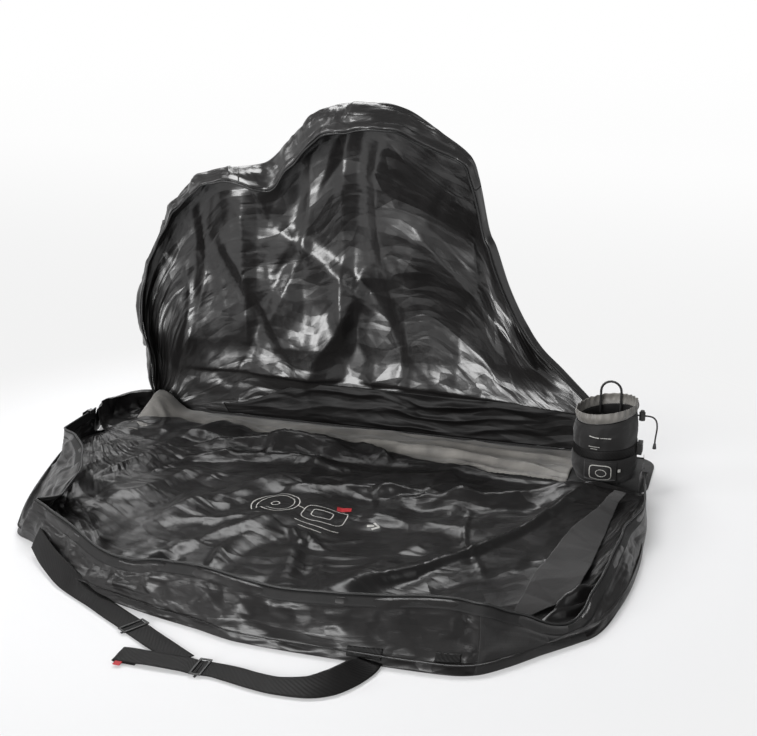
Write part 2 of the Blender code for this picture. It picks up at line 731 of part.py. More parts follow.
def make_pouch():
    angles = turn_angles(POUCH_SIDE_COUNT)
    rings = [[pouch_point(a, share * POUCH_HEIGHT) for a in angles] for share, _ in POUCH_RING_SHARES]
    ring_sheet("fork_pouch_body", rings, CLOTH, "coated_cloth", side=-1, floor=True)
    fine = turn_angles(4 * GATHER_COUNT)
    collar = []
    for share in (0, 0.5, 1):
        ring = []
        for a in fine:
            gather = GATHER_DEPTH * math.cos(GATHER_COUNT * a) * share - GATHER_DEPTH
            point = pouch_point(a, POUCH_HEIGHT, gather + COLLAR_FLARE * share)
            ring.append(point + Vector((0, 0, 2 * GAP + COLLAR_HEIGHT * share)))
        collar.append(ring)
    ring_sheet("fork_pouch_collar", collar, LINING_THICKNESS, "grey_lining", side=-1)
    low, high = STRAP_BAND_LEVEL - STRAP_BAND_HEIGHT / 2, STRAP_BAND_LEVEL + STRAP_BAND_HEIGHT / 2
    band_rings = [[pouch_point(a, level, 2 * GAP) for a in angles] for level in (low, high)]
    ring_sheet("fork_pouch_strap", band_rings, WEBBING, "webbing")
    front = [math.radians(-90) + step * 2 * math.pi / POUCH_SIDE_COUNT for step in (-2, -1, 0, 1, 2)]
    levels = (PATCH_LEVEL, PATCH_LEVEL + PATCH_HEIGHT)
    patch = [[pouch_point(a, level, 2 * GAP) for a in front] for level in levels]
    sheet("fork_pouch_patch", patch, PATCH_THICKNESS, "print")
    make_buckle()
    make_grab_loop()
    make_drawcord()


def make_buckle():
    """Ladder buckle at the right end of the pouch's strap, with two slots for the webbing."""
    seat = pouch_point(0, STRAP_BAND_LEVEL - STRAP_BAND_HEIGHT / 2, 3 * GAP + WEBBING).x
    centre = Vector((seat + BUCKLE_LENGTH / 2, POUCH_Y, BASE_THICKNESS + STRAP_BAND_LEVEL))
    obj = box("fork_pouch_buckle", centre, (BUCKLE_LENGTH, BUCKLE_WIDTH, BUCKLE_HEIGHT), "plastic")
    slot = (BUCKLE_LENGTH * 2, (BUCKLE_WIDTH - 3 * BUCKLE_BAR) / 2, BUCKLE_HEIGHT - 2 * BUCKLE_BAR)
    for side in (-1, 1):
        place = centre + Vector((0, side * (BUCKLE_BAR + slot[1]) / 2, 0))
        cut(obj, cutter_box(slot, Matrix.Translation(place), "slot"), f"slot_{side + 1}")


def make_grab_loop():
    """Round loop standing from the back of the pouch's mouth."""
    inner = POUCH_HALF_WIDTH * POUCH_RING_SHARES[-1][1] - CLOTH - LOOP_INSET
    narrow = math.sqrt(1 - (LOOP_SPAN / 2 / POUCH_HALF_LENGTH) ** 2)
    y = POUCH_Y + inner * narrow - LOOP_RADIUS - GAP
    foot = BASE_THICKNESS + POUCH_HEIGHT - LOOP_FOOT_DEPTH
    half = LOOP_SPAN / 2
    shoulder = foot + LOOP_FOOT_DEPTH + LOOP_HEIGHT - half
    points = [(POUCH_X - half, y, level) for level in steps(foot, shoulder, 4)]
    for turn in steps(math.pi, 0, 10)[1:]:
        points.append((POUCH_X + half * math.cos(turn), y, shoulder + half * math.sin(turn)))
    points += [(POUCH_X + half, y, level) for level in steps(shoulder, foot, 4)[1:]]
    tube("fork_pouch_loop", points, LOOP_RADIUS, "webbing")


def make_drawcord():
    tube("drawcord", [Vector(point) for point in DRAWCORD_POINTS], CORD_RADIUS, "webbing")
    end = Vector(DRAWCORD_POINTS[-1])
    bm = bmesh.new()
    middle = Matrix.Translation(end - Vector((0, 0, GAP + BEAD_LENGTH / 2)))
    bmesh.ops.create_cone(
        bm, cap_ends=True, segments=12, radius1=BEAD_RADIUS, radius2=BEAD_RADIUS * BEAD_TAPER_SHARE,
        depth=BEAD_LENGTH, matrix=middle,
    )
    add_object("drawcord_bead", mesh_from(bm, "drawcord_bead"), "plastic")
    make_cord_lock()


def rod(name, radius, low, high, centre, finish, holder=None, segments=16):
    bm = bmesh.new()
    middle = Matrix.Translation((centre.x, centre.y, (low + high) / 2))
    bmesh.ops.create_cone(
        bm, cap_ends=True, segments=segments, radius1=radius, radius2=radius, depth=high - low, matrix=middle
    )
    return add_object(name, mesh_from(bm, name), finish, holder)


def make_cord_lock():
    """Barrel lock on the straight start of the drawcord, with a sprung plunger."""
    cord = Vector(DRAWCORD_POINTS[LOCK_POINT_INDEX])
    slide = make_holder("cord_lock_slide", cord)
    press = make_holder("cord_lock_press", cord, slide)
    bottom = cord.z - LOCK_DEPTH
    top = bottom + LOCK_HEIGHT
    body = rod("cord_lock_body", LOCK_RADIUS, bottom, top, cord, "plastic", slide)
    pocket = PLUNGER_RADIUS + GAP
    floor = bottom + LOCK_FLOOR
    middle = Matrix.Translation((cord.x, cord.y, (floor + top + LOCK_FLOOR) / 2))
    cut(body, cutter_rod(pocket, top + LOCK_FLOOR - floor, middle, "pocket"), "pocket")
    across = Matrix.Translation(cord) @ Matrix.Rotation(math.radians(90), 4, "Y")
    cut(body, cutter_rod(LOCK_BORE, 4 * LOCK_RADIUS, across, "bore", 12), "bore")
    low = floor + SPRING_SPACE
    plunger = rod("cord_lock_plunger", PLUNGER_RADIUS, low, top + PLUNGER_HEAD, cord, "plastic", press)
    slot = (4 * LOCK_RADIUS, 2 * LOCK_BORE, 2 * LOCK_BORE + PLUNGER_PRESS)
    place = Matrix.Translation(cord + Vector((0, 0, PLUNGER_PRESS / 2)))
    cut(plunger, cutter_box(slot, place, "cord_slot"), "cord_slot")
    helix = []
    start, end = floor + GAP + SPRING_WIRE, low - GAP - SPRING_WIRE
    radius = PLUNGER_RADIUS - 2 * SPRING_WIRE
    count = SPRING_TURN_COUNT * 10
    for i in range(count + 1):
        angle = 2 * math.pi * i / 10
        level = start + (end - start) * i / count
        helix.append((cord.x + radius * math.cos(angle), cord.y + radius * math.sin(angle), level))
    tube("cord_lock_spring", helix, SPRING_WIRE, "metal", slide, sides_step=1)


# Zip sliders
def slider_frame(place, toward):
    """Axes of a slider parked on the front coil: along its travel, out of the bag, and up the tape."""
    low, high = tape_rows(min(place, toward), max(place, toward), 1)
    near, far = (0, 1) if place < toward else (1, 0)
    line = coil_line(min(place, toward), max(place, toward), 1)
    along = (line[far] - line[near]).normalized()
    up = (high[near] - low[near]).normalized()
    up = (up - along * up.dot(along)).normalized()
    out = along.cross(up) if place < toward else up.cross(along)
    centre = line[near] + along * (SLIDER_PARK + SLIDER_LENGTH / 2)
    return centre, along, out, up


def frame_matrix(centre, out, up):
    matrix = Matrix((out.cross(up), out, up)).transposed().to_4x4()
    return Matrix.Translation(centre) @ matrix


def make_slider(side, place, toward, holder):
    centre, along, out, up = slider_frame(place, toward)
    frame = frame_matrix(centre, out, up)
    ahead = math.copysign(1, out.cross(up).dot(along))
    slide = make_holder(f"zip_slider_{side}_slide", centre, holder)
    inside = COIL_RADIUS + SLIDER_CLEARANCE
    half = inside + SLIDER_WALL
    bm = bmesh.new()
    box_mesh(bm, (SLIDER_LENGTH, 2 * half, 2 * half), frame)
    body = add_object(f"zip_slider_{side}", mesh_from(bm, "slider"), "metal", slide)
    lug_place = frame @ Matrix.Translation((0, half + LUG_HEIGHT / 2 - GAP, 0))
    cut(body, cutter_box((LUG_LENGTH, LUG_HEIGHT + GAP, LUG_WIDTH), lug_place, "lug"), "lug", "UNION")
    cut(body, cutter_box((2 * SLIDER_LENGTH, 2 * inside, 2 * inside), frame, "channel"), "channel")
    slot_half = TAPE_THICKNESS + SLIDER_CLEARANCE
    slot = frame @ Matrix.Translation((0, slot_half / 2 - SLIDER_CLEARANCE / 2, -half))
    size = (2 * SLIDER_LENGTH, slot_half + SLIDER_CLEARANCE, 2 * half)
    cut(body, cutter_box(size, slot, "tape_slot"), "tape_slot")
    pivot = frame @ Matrix.Translation((0, half + LUG_HEIGHT / 2 - GAP, 0))
    cut(body, cutter_box((LUG_HOLE, LUG_HOLE, 2 * LUG_WIDTH), pivot, "lug_hole"), "lug_hole")
    swing = make_holder(f"zip_pull_{side}_swing", pivot.translation, slide)
    bm = bmesh.new()
    reach = PULL_LENGTH / 2 - PULL_BAR / 2
    middle = pivot @ Matrix.Translation((ahead * reach, 0, 0))
    box_mesh(bm, (PULL_LENGTH, PULL_THICKNESS, PULL_WIDTH), middle)
    pull = add_object(f"zip_pull_{side}", mesh_from(bm, "pull"), "metal", swing)
    window = pivot @ Matrix.Translation((ahead * (PULL_BAR + PULL_WINDOW) / 2, 0, 0))
    size = (PULL_WINDOW, LUG_HEIGHT, LUG_WIDTH + 2 * SLIDER_CLEARANCE)
    cut(pull, cutter_box(size, window, "window"), "window")


# Shoulder strap
def band(name, points, holder, width):
    """Flat webbing along x, y, z, tilt points: its underside runs through them."""
    near, far = [], []
    for i, point in enumerate(points):
        before, after = points[max(i - 1, 0)], points[min(i + 1, len(points) - 1)]
        run = Vector(after[:3]) - Vector(before[:3])
        flat = Vector((run.x, run.y, 0)).normalized()
        tilt = math.radians(point[3])
        cross = Vector((-flat.y, flat.x, 0)) * math.cos(tilt) + Vector((0, 0, math.sin(tilt)))
        middle = Vector(point[:3]) + Vector((0, 0, math.sin(abs(tilt)) * width / 2))
        near.append(middle - cross * width / 2)
        far.append(middle + cross * width / 2)
    sheet(name, [near, far], WEBBING, "webbing", holder)


def strap_seat(place):
    """The point just outside the front half's edge where an end of the strap is sewn on."""
    foot, _ = front_edge(place)
    ahead, _ = front_edge(place + SEAM_SHARE)
    run = (ahead - foot).normalized()
    return foot + Vector((run.y, -run.x, 0)) * GAP + Vector((0, 0, STRAP_LIFT + WEBBING / 2))


def strap_places():
    """Corner of each end of the strap, start and end of the left webbing's centre line, its heading."""
    left, right = strap_seat(STRAP_LEFT_PLACE_SHARE), strap_seat(STRAP_RIGHT_PLACE_SHARE)
    heading = math.radians(STRAP_HEADING_DEG)
    run = Vector((math.cos(heading), math.sin(heading), 0))
    start = left + Vector((run.y, -run.x, 0)) * STRAP_WIDTH / 2
    start.z = STRAP_LIFT
    return left, right, start, start + run * STRAP_LEFT_LENGTH, run


def make_strap(front):
    left, right, start, end, run = strap_places()
    swing = make_holder("shoulder_strap_swing", left, front)
    level = [start.lerp(end, share) for share in steps(0, 1, 3)]
    band("strap_left", [(*point, 0) for point in level], swing, STRAP_WIDTH)
    joint = Vector((end.x + GLIDE_LENGTH + STRAP_WIDTH / 4, end.y - GLIDE_LENGTH / 2, STRAP_LIFT))
    make_glide("strap_end_glide", joint, Vector((1, 0, 0)), swing)
    leave = joint + Vector((GLIDE_LENGTH, 0, 0))
    to_bag = right - Vector((0, STRAP_WIDTH / 2, 0)) - leave
    to_bag.z = 0
    out = Vector((to_bag.y, -to_bag.x, 0))
    points = [(*joint.lerp(leave, share), 0) for share in steps(0, 1, 2)[:-1]]
    for place in steps(0, len(STRAP_RIGHT_SHARES) - 1, 24):
        along, away, tilt = smooth_rows(STRAP_RIGHT_SHARES, place)
        point = leave + to_bag * along + out * away
        points.append((point.x, point.y, STRAP_LIFT, tilt * STRAP_MOST_TILT_DEG))
    band("strap_right", points, swing, STRAP_WIDTH)
    make_tail(joint, swing)
    glide_place = start.lerp(end, RUNNING_GLIDE_SHARE)
    slide = make_holder("strap_glide_slide", glide_place, swing)
    make_glide("strap_running_glide", glide_place, run, slide)


def make_tail(joint, holder):
    """End of the webbing, folded back under itself."""
    heading = math.radians(STRAP_TAIL_HEADING_DEG)
    run = Vector((math.cos(heading), math.sin(heading), 0))
    climb = STRAP_TAIL_LIFT - STRAP_LIFT
    first = joint + run * FOLD_GAP
    rows = [first, first + run * GLIDE_LENGTH / 2]
    rows.append(rows[-1] + run * GLIDE_LENGTH / 2 + Vector((0, 0, climb)))
    far = first + run * STRAP_TAIL_LENGTH
    far.z = STRAP_TAIL_LIFT
    rows.append(far)
    turn = (STRAP_TAIL_LIFT - STRAP_RETURN_LIFT) / 2
    for angle in steps(90, -90, 6)[1:]:
        swing = math.radians(angle)
        rows.append(far + run * turn * math.cos(swing) + Vector((0, 0, turn * (math.sin(swing) - 1))))
    last = far - run * STRAP_TAIL_RETURN
    last.z = STRAP_RETURN_LIFT
    rows.append(last)
    cross = Vector((-run.y, run.x, 0)) * STRAP_WIDTH / 2
    grid = [[point - cross for point in rows], [point + cross for point in rows]]
    sheet("strap_tail", grid, WEBBING, "webbing", holder)
    edge = far - run * TAB_LENGTH + cross.normalized() * (STRAP_WIDTH / 2 + GAP + TAB_WIDTH / 2)
    box("strap_tab", edge, (TAB_LENGTH, TAB_WIDTH, WEBBING), "red_label", holder,
        Matrix.Rotation(heading, 4, "Z"))


def make_glide(name, middle, run, holder):
    """Three-bar glide: the webbing lies on the middle bar and under the two outer ones."""
    turn = Matrix.Rotation(math.atan2(run.y, run.x), 4, "Z")
    low = middle.z - GAP - GLIDE_THICKNESS
    high = middle.z + WEBBING + GAP + GLIDE_THICKNESS
    width = STRAP_WIDTH + 2 * GAP + 2 * GLIDE_RIM
    centre = Vector((middle.x, middle.y, (low + high) / 2))
    obj = box(name, centre, (GLIDE_LENGTH, width, high - low), "plastic", holder, turn)
    frame = Matrix.Translation(centre) @ turn
    inner = STRAP_WIDTH + 2 * GAP
    channel = frame @ Matrix.Translation((0, 0, middle.z + WEBBING / 2 - centre.z))
    cut(obj, cutter_box((2 * GLIDE_LENGTH, inner, WEBBING + 2 * GAP), channel, "channel"), "channel")
    window = frame @ Matrix.Translation((0, 0, high - centre.z))
    opening = inner - 2 * GAP
    size = (GLIDE_LENGTH - 2 * GLIDE_BAR, opening, 2 * (GLIDE_THICKNESS + GAP))
    cut(obj, cutter_box(size, window, "window"), "window")
    reach = GLIDE_LENGTH / 2
    for side in (-1, 1):
        size = (GLIDE_LENGTH - GLIDE_BAR, opening, 2 * (GLIDE_THICKNESS + GAP))
        place = frame @ Matrix.Translation((side * (GLIDE_BAR / 2 + size[0] / 2), 0, low - centre.z))
        cut(obj, cutter_box(size, place, "notch"), f"notch_{side + 1}")
    return obj


def wall_patch(name, places, shares, thickness, finish, holder):
    """Flat cloth sewn on the outside of the wall, between its foot and its belly."""
    feet, bellies, _ = wall_rows(*places)
    rows = []
    for share in shares:
        row = []
        for i, (foot, belly) in enumerate(zip(feet, bellies)):
            j = min(i, len(feet) - 2)
            normal = (feet[j + 1] - feet[j]).cross(belly - foot).normalized()
            row.append(foot.lerp(belly, share) + normal * (CLOTH + 2 * GAP))
        rows.append(row)
    sheet(name, rows, thickness, finish, holder)


def make_front_trim(holder):
    wall_patch("strap_anchor_left", STRAP_PATCH_PLACES_SHARES, PATCH_BAND_SHARES, WEBBING, "canvas", holder)
    wall_patch("strap_anchor_right", STRAP_RIGHT_PATCH_SHARES, PATCH_BAND_SHARES, WEBBING, "canvas", holder)
    wall_patch("front_label", LABEL_PLACES_SHARES, LABEL_BAND_SHARES, PATCH_THICKNESS, "canvas", holder)
    rows = [[] for _ in range(4)]
    for place in steps(0, len(REINFORCEMENT_LEFT_SHARES) - 1, 9):
        left = smooth_rows(REINFORCEMENT_LEFT_SHARES, place)
        right = smooth_rows(REINFORCEMENT_RIGHT_SHARES, place)
        for row, across in zip(rows, steps(0, 1, 3)):
            x, y, rise = [a + (b - a) * across for a, b in zip(left, right)]
            row.append(front_point(x, y, CLOTH + GAP + rise * REINFORCEMENT_RISE))
    sheet("front_reinforcement", rows, CLOTH, "canvas", holder)


def main():
    make_base()
    make_pouch()
    front = make_front_half()
    make_front_trim(front)
    make_back_half()
    last = len(FRONT_EDGE_SHARES) - 1
    make_slider("left", 0, 1, front)
    make_slider("right", last, last - 1, front)
    make_strap(front)


clear_scene()
PARTS = make_collection("bike_travel_bag")
CUTTERS = make_collection("cutters")
main()
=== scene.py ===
import math

import bmesh
import bpy
import numpy as np
from mathutils import Matrix, Vector
from mathutils.bvhtree import BVHTree


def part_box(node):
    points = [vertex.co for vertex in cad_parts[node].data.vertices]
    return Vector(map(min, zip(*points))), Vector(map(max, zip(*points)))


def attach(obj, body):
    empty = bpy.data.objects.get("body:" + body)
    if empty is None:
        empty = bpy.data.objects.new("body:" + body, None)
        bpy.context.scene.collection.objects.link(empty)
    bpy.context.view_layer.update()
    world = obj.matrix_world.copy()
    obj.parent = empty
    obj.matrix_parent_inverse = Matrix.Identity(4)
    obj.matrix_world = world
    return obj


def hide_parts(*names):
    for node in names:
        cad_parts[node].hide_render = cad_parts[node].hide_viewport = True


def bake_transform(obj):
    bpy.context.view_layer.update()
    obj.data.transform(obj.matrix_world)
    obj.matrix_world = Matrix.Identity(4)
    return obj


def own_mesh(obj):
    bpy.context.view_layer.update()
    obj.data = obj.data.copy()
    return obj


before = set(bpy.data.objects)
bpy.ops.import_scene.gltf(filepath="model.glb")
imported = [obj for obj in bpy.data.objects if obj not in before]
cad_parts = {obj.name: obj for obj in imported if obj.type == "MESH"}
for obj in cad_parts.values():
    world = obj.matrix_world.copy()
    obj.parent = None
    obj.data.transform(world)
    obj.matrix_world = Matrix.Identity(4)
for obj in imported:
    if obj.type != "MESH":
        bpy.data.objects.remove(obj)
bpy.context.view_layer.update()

# A soft bike travel bag that lies open on the floor: the front half spread flat as a shallow tray, the
# back half standing up behind the base, the fork pouch on the base and the shoulder strap on the floor.

# Sizes the bag hangs on: the base's from the frame, then those that its outlines are shares of, in metres
baseLow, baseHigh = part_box("base_panel")
halfLength = baseHigh.x
halfWidth = baseHigh.y
baseTop = baseHigh.z
frontDepth = 0.92      # the front half, from the base's seam to its outer edge
wallHeight = 0.085     # tallest part of the front half's wall
backHeight = 0.88      # the standing half
cloth = 0.003          # room that the frame's solids give to a layer of cloth


# Camera and light

view = {
    "place": (0.9216, -3.0999, 1.2768),
    "turn": 16.894,      # degrees round to the left of straight ahead
    "down": 18.085,      # degrees below level
    "lens": 63.56,       # mm on a 36 mm sensor
}


def makeCamera():
    turn, down = math.radians(view["turn"]), math.radians(view["down"])
    ahead = Vector((-math.sin(turn) * math.cos(down), math.cos(turn) * math.cos(down), -math.sin(down)))
    camera = bpy.data.objects.new("camera", bpy.data.cameras.new("camera"))
    camera.data.lens = view["lens"]
    camera.data.sensor_width = 36
    camera.data.clip_end = 50
    camera.location = view["place"]
    camera.rotation_euler = ahead.to_track_quat("-Z", "Y").to_euler()
    bpy.context.scene.collection.objects.link(camera)
    bpy.context.scene.camera = camera


makeCamera()
bpy.context.scene.view_settings.view_transform = "Standard"
print("camera done")

light = {
    "lamps": [
        # name, place, aimed at, width, length, watts
        ("overhead", (-0.6, 0.9, 3.0), (0, -0.3, 0), 2.0, 1.3, 100),
        ("left window", (-3.0, -1.0, 2.0), (0, -0.3, 0.3), 0.8, 1.2, 30),
        ("front softbox", (-1.8, -6.4, 1.9), (-0.1, 0, 0.4), 3.6, 2.2, 480),
        ("right fill", (3.2, -1.6, 1.8), (0, -0.3, 0.2), 1.2, 1.2, 12),
        ("behind", (-1.6, 3.6, 2.2), (0, 0.1, 0.4), 2.4, 1.4, 40),
    ],
    "room": 0.27,                  # light of the pale room on matt surfaces, and its brightness overhead
    "roomColour": "#f4f5f7",
    "backdrop": (0.89, 0.985),     # what the camera sees of the room, low down and high up
    "wall": (-0.14, -0.08),        # rise of the view over which the backdrop turns white
    "roof": (0.02, 0.3),           # and over which it turns as dim as the room
    "floor": "#b9b9ba", "floorRadius": 6, "floorDrop": 0.0006,
    "floorGlow": 0.265,            # added to the floor where it is seen, so that it keeps the shadow
    "bagMiddle": (-0.03, -0.42, 0),
    "floorFade": (0.75, 1.5),      # metres from the bag's middle over which the floor turns into the backdrop
    "floorGrade": (0.6, 5.0),      # metres back over which the backdrop goes from low to high
}
white = (1, 1, 1, 1)


def makeLights():
    for name, place, aim, width, length, power in light["lamps"]:
        lamp = bpy.data.lights.new(name, "AREA")
        lamp.shape = "RECTANGLE"
        lamp.size = width
        lamp.size_y = length
        lamp.energy = power
        obj = bpy.data.objects.new(name, lamp)
        obj.location = place
        obj.rotation_euler = (Vector(aim) - Vector(place)).to_track_quat("-Z", "Y").to_euler()
        bpy.context.scene.collection.objects.link(obj)


def addNode(tree, kind, links=None, **settings):
    # adds one shader node, sets its properties, then gives each socket a value or a link
    node = tree.nodes.new("ShaderNode" + kind)
    for name, value in settings.items():
        setattr(node, name, value)
    for socket, value in (links or {}).items():
        if isinstance(value, bpy.types.NodeSocket):
            tree.links.new(value, node.inputs[socket])
        else:
            node.inputs[socket].default_value = value
    return node


def maths(tree, operation, a, b):
    return addNode(tree, "Math", {0: a, 1: b}, operation=operation).outputs[0]


def vectors(tree, operation, a, b=(0, 0, 0)):
    return addNode(tree, "VectorMath", {0: a, 1: b}, operation=operation).outputs[0]


def spread(tree, value, low, high, start=0.0, end=1.0, ease="LINEAR"):
    # low to high while the value goes from start to end
    return addNode(tree, "MapRange", {"Value": value, "From Min": start, "From Max": end, "To Min": low,
                                      "To Max": high}, interpolation_type=ease).outputs[0]


def noise(tree, space, scale, detail):
    return addNode(tree, "TexNoise", {"Vector": space, "Scale": scale, "Detail": detail}).outputs


def ribs(tree, space, scale, way="X", distortion=0.0):
    return addNode(tree, "TexWave", {"Vector": space, "Scale": scale, "Distortion": distortion},
                   bands_direction=way).outputs["Fac"]


def bump(tree, height, depth, strength, normal=None):
    sockets = {"Height": height, "Distance": depth, "Strength": strength}
    if normal:
        sockets["Normal"] = normal
    return addNode(tree, "Bump", sockets).outputs[0]


def hexColour(code):
    # an sRGB hex code as the linear colour that the shader wants
    parts = [int(code[i:i + 2], 16) / 255 for i in (1, 3, 5)]
    return (*[c / 12.92 if c <= 0.04045 else ((c + 0.055) / 1.055) ** 2.4 for c in parts], 1)


def newMaterial(name, colour, roughness, specular=0.5):
    material = bpy.data.materials.new(name)
    material.use_nodes = True
    shader = material.node_tree.nodes["Principled BSDF"]
    shader.inputs["Base Color"].default_value = hexColour(colour)
    shader.inputs["Roughness"].default_value = roughness
    shader.inputs["Specular IOR Level"].default_value = specular
    return material, material.node_tree, shader


def meshOf(name, bm, sharp=None):
    # turns a bmesh into a smooth mesh that keeps the edges sharper than an angle in degrees
    mesh = bpy.data.meshes.new(name)
    bm.to_mesh(mesh)
    bm.free()
    mesh.shade_smooth()
    if sharp:
        mesh.set_sharp_from_angle(angle=math.radians(sharp))
    return mesh


def seenRays(tree):
    # 1 for rays that show the background: the camera's, and those off or through a surface
    path = addNode(tree, "LightPath").outputs
    some = maths(tree, "MAXIMUM", path["Is Camera Ray"], path["Is Glossy Ray"])
    return maths(tree, "MAXIMUM", some, path["Is Transmission Ray"])


def makeWorld():
    world = bpy.data.worlds.new("pale room")
    bpy.context.scene.world = world
    world.use_nodes = True
    tree = world.node_tree
    tree.nodes.clear()
    lit = addNode(tree, "Background", {"Color": hexColour(light["roomColour"]), "Strength": light["room"]})
    space = addNode(tree, "TexCoord").outputs["Generated"]
    high = addNode(tree, "SeparateXYZ", {"Vector": space}).outputs["Z"]
    wall = spread(tree, high, light["backdrop"][1], 1.0, *light["wall"], "SMOOTHSTEP")
    roof = spread(tree, high, 1.0, light["room"], *light["roof"], "SMOOTHSTEP")
    seen = addNode(tree, "Background", {"Color": white, "Strength": maths(tree, "MULTIPLY", wall, roof)})
    both = addNode(tree, "MixShader", {0: seenRays(tree), 1: lit.outputs[0], 2: seen.outputs[0]})
    addNode(tree, "OutputWorld", {"Surface": both.outputs[0]})


def makeFloor():
    bm = bmesh.new()
    bmesh.ops.create_circle(bm, cap_ends=True, segments=64, radius=light["floorRadius"])
    bmesh.ops.translate(bm, verts=bm.verts, vec=(0, 0, -light["floorDrop"]))
    floor = bpy.data.objects.new("studio_floor", meshOf("studio_floor", bm))
    bpy.context.scene.collection.objects.link(floor)
    material, tree, shader = newMaterial("white painted studio floor", light["floor"], 0.9, 0.1)
    rays = seenRays(tree)
    space = addNode(tree, "TexCoord").outputs["Object"]
    under = vectors(tree, "SUBTRACT", space, light["bagMiddle"])
    away = addNode(tree, "VectorMath", {0: under}, operation="LENGTH").outputs["Value"]
    fade = spread(tree, away, 0.0, 1.0, *light["floorFade"], "SMOOTHSTEP")
    glow = addNode(tree, "Emission", {"Color": white, "Strength": light["floorGlow"]}).outputs[0]
    lift = addNode(tree, "MixShader", {0: rays, 2: glow}).outputs[0]
    near = addNode(tree, "AddShader", {0: shader.outputs[0], 1: lift}).outputs[0]
    behind = addNode(tree, "SeparateXYZ", {"Vector": space}).outputs["Y"]
    grade = spread(tree, behind, *light["backdrop"], *light["floorGrade"], "SMOOTHSTEP")
    backdrop = addNode(tree, "Emission", {"Color": white, "Strength": grade}).outputs[0]
    seen = maths(tree, "MULTIPLY", fade, rays)
    far = addNode(tree, "MixShader", {0: seen, 1: near, 2: backdrop}).outputs[0]
    tree.links.new(far, tree.nodes["Material Output"].inputs["Surface"])
    floor.data.materials.append(material)


makeLights()
makeWorld()
makeFloor()
print("light and floor done")


# Materials

def clothSpace(tree):
    # the piece's own flat pattern, in metres
    return addNode(tree, "UVMap", uv_map="cloth").outputs["UV"]


def shadeBy(tree, shader, factor, colours=None, roughs=None):
    # a pattern that turns the colour from dark to pale, and the roughness from low to high
    if colours:
        ramp = addNode(tree, "ValToRGB", {"Fac": factor})
        for stop, colour, place in zip(ramp.color_ramp.elements, colours, (0.3, 0.75)):
            stop.color = hexColour(colour)
            stop.position = place
        tree.links.new(ramp.outputs["Color"], shader.inputs["Base Color"])
    if roughs:
        tree.links.new(spread(tree, factor, *roughs), shader.inputs["Roughness"])


coated = {
    "grain": 3.2,         # mm; the yarn is 0.3 mm, drawn coarse so that it shows
    # turn in radians and size in mm, along and across, of the long creases
    "creases": [(0.6, 150, 34), (-0.9, 110, 26)],
    # colours, shine, roughness and strength of the creases; then the flat facets that the crumpled cloth
    # breaks into: turn, size in mm along and across, and tilt
    "front": {"colours": ("#141313", "#1b1a1a"), "gloss": 0.27, "rough": (0.28, 0.35), "crease": 0.6,
              "facets": [(0.9, 120, 40, 0.17), (-0.5, 60, 18, 0.11), (0.3, 24, 9, 0.06)]},
    # the standing back half: the same cloth as the front, its paler colours painted light for the brighter light
    # that falls on it, with more shine
    "back": {"colours": ("#161515", "#1e1d1d"), "gloss": 0.62, "rough": (0.27, 0.33), "crease": 0.5,
             "facets": [(1.4, 260, 60, 0.24), (1.2, 120, 26, 0.16), (-0.6, 40, 12, 0.07)]},
    "outer": {"colours": ("#181717", "#201f1f"), "gloss": 0.36, "rough": (0.32, 0.4), "crease": 0.5,
              "facets": [(0.25, 110, 24, 0.17), (-0.7, 50, 14, 0.13), (0.5, 20, 9, 0.07)]},
    # the pleated foot band: the same cloth, its darker colours painted shade for its place under the back panel's
    # hem
    "band": {"colours": ("#0d0c0c", "#131212"), "gloss": 0.12, "rough": (0.4, 0.5), "crease": 0.2,
             "facets": [(0.05, 200, 22, 0.2), (-0.1, 80, 10, 0.08)]},
}


def longCells(tree, space, turn, long, wide, **settings):
    # cells stretched along a heading, and the space they are drawn in
    laid = addNode(tree, "Mapping", {"Vector": space, "Rotation": (0, 0, turn),
                                     "Scale": (1000 / long, 1000 / wide, 1)}).outputs[0]
    return laid, addNode(tree, "TexVoronoi", {"Vector": laid, "Scale": 1.0}, **settings).outputs


def coatedPolyester(name, sort):
    # black polyester, slick where it is coated: crumpled into flat facets and long creases
    sort = coated[sort]
    material, tree, shader = newMaterial(name, sort["colours"][0], 0.4, sort["gloss"])
    space = clothSpace(tree)
    shadeBy(tree, shader, noise(tree, space, 9.0, 3.0)["Fac"], sort["colours"], sort["rough"])
    bend = vectors(tree, "MULTIPLY", noise(tree, space, 4.0, 1.0)["Color"], (0.08, 0.08, 0.08))
    warped = vectors(tree, "ADD", space, bend)
    normal = addNode(tree, "NewGeometry").outputs["Normal"]
    for turn, long, wide, tilt in sort["facets"]:
        cells = longCells(tree, warped, turn, long, wide)[1]
        lean = vectors(tree, "SUBTRACT", cells["Color"], (0.5, 0.5, 0.5))
        normal = vectors(tree, "ADD", normal, vectors(tree, "MULTIPLY", lean, (tilt, tilt, tilt)))
    normal = vectors(tree, "NORMALIZE", normal)
    for turn, long, wide in coated["creases"]:
        laid, cells = longCells(tree, warped, turn, long, wide, feature="DISTANCE_TO_EDGE")
        some = spread(tree, noise(tree, laid, 0.23, 1.0)["Fac"], 0.0, sort["crease"], 0.44, 0.6)
        normal = bump(tree, cells["Distance"], wide / 4500, some, normal)
    grain = noise(tree, space, 1000 / coated["grain"], 1.0)["Fac"]
    tree.links.new(bump(tree, grain, 0.0002, 0.5, normal), shader.inputs["Normal"])
    return material


canvas = {
    "black": ("#121111", "#1a1919"), "grey": ("#1e1d1d", "#292727"),
    "rough": (0.62, 0.78),
    "thread": 2.4,        # mm; 600 denier yarn is 0.5 mm, drawn coarse so that it shows
}


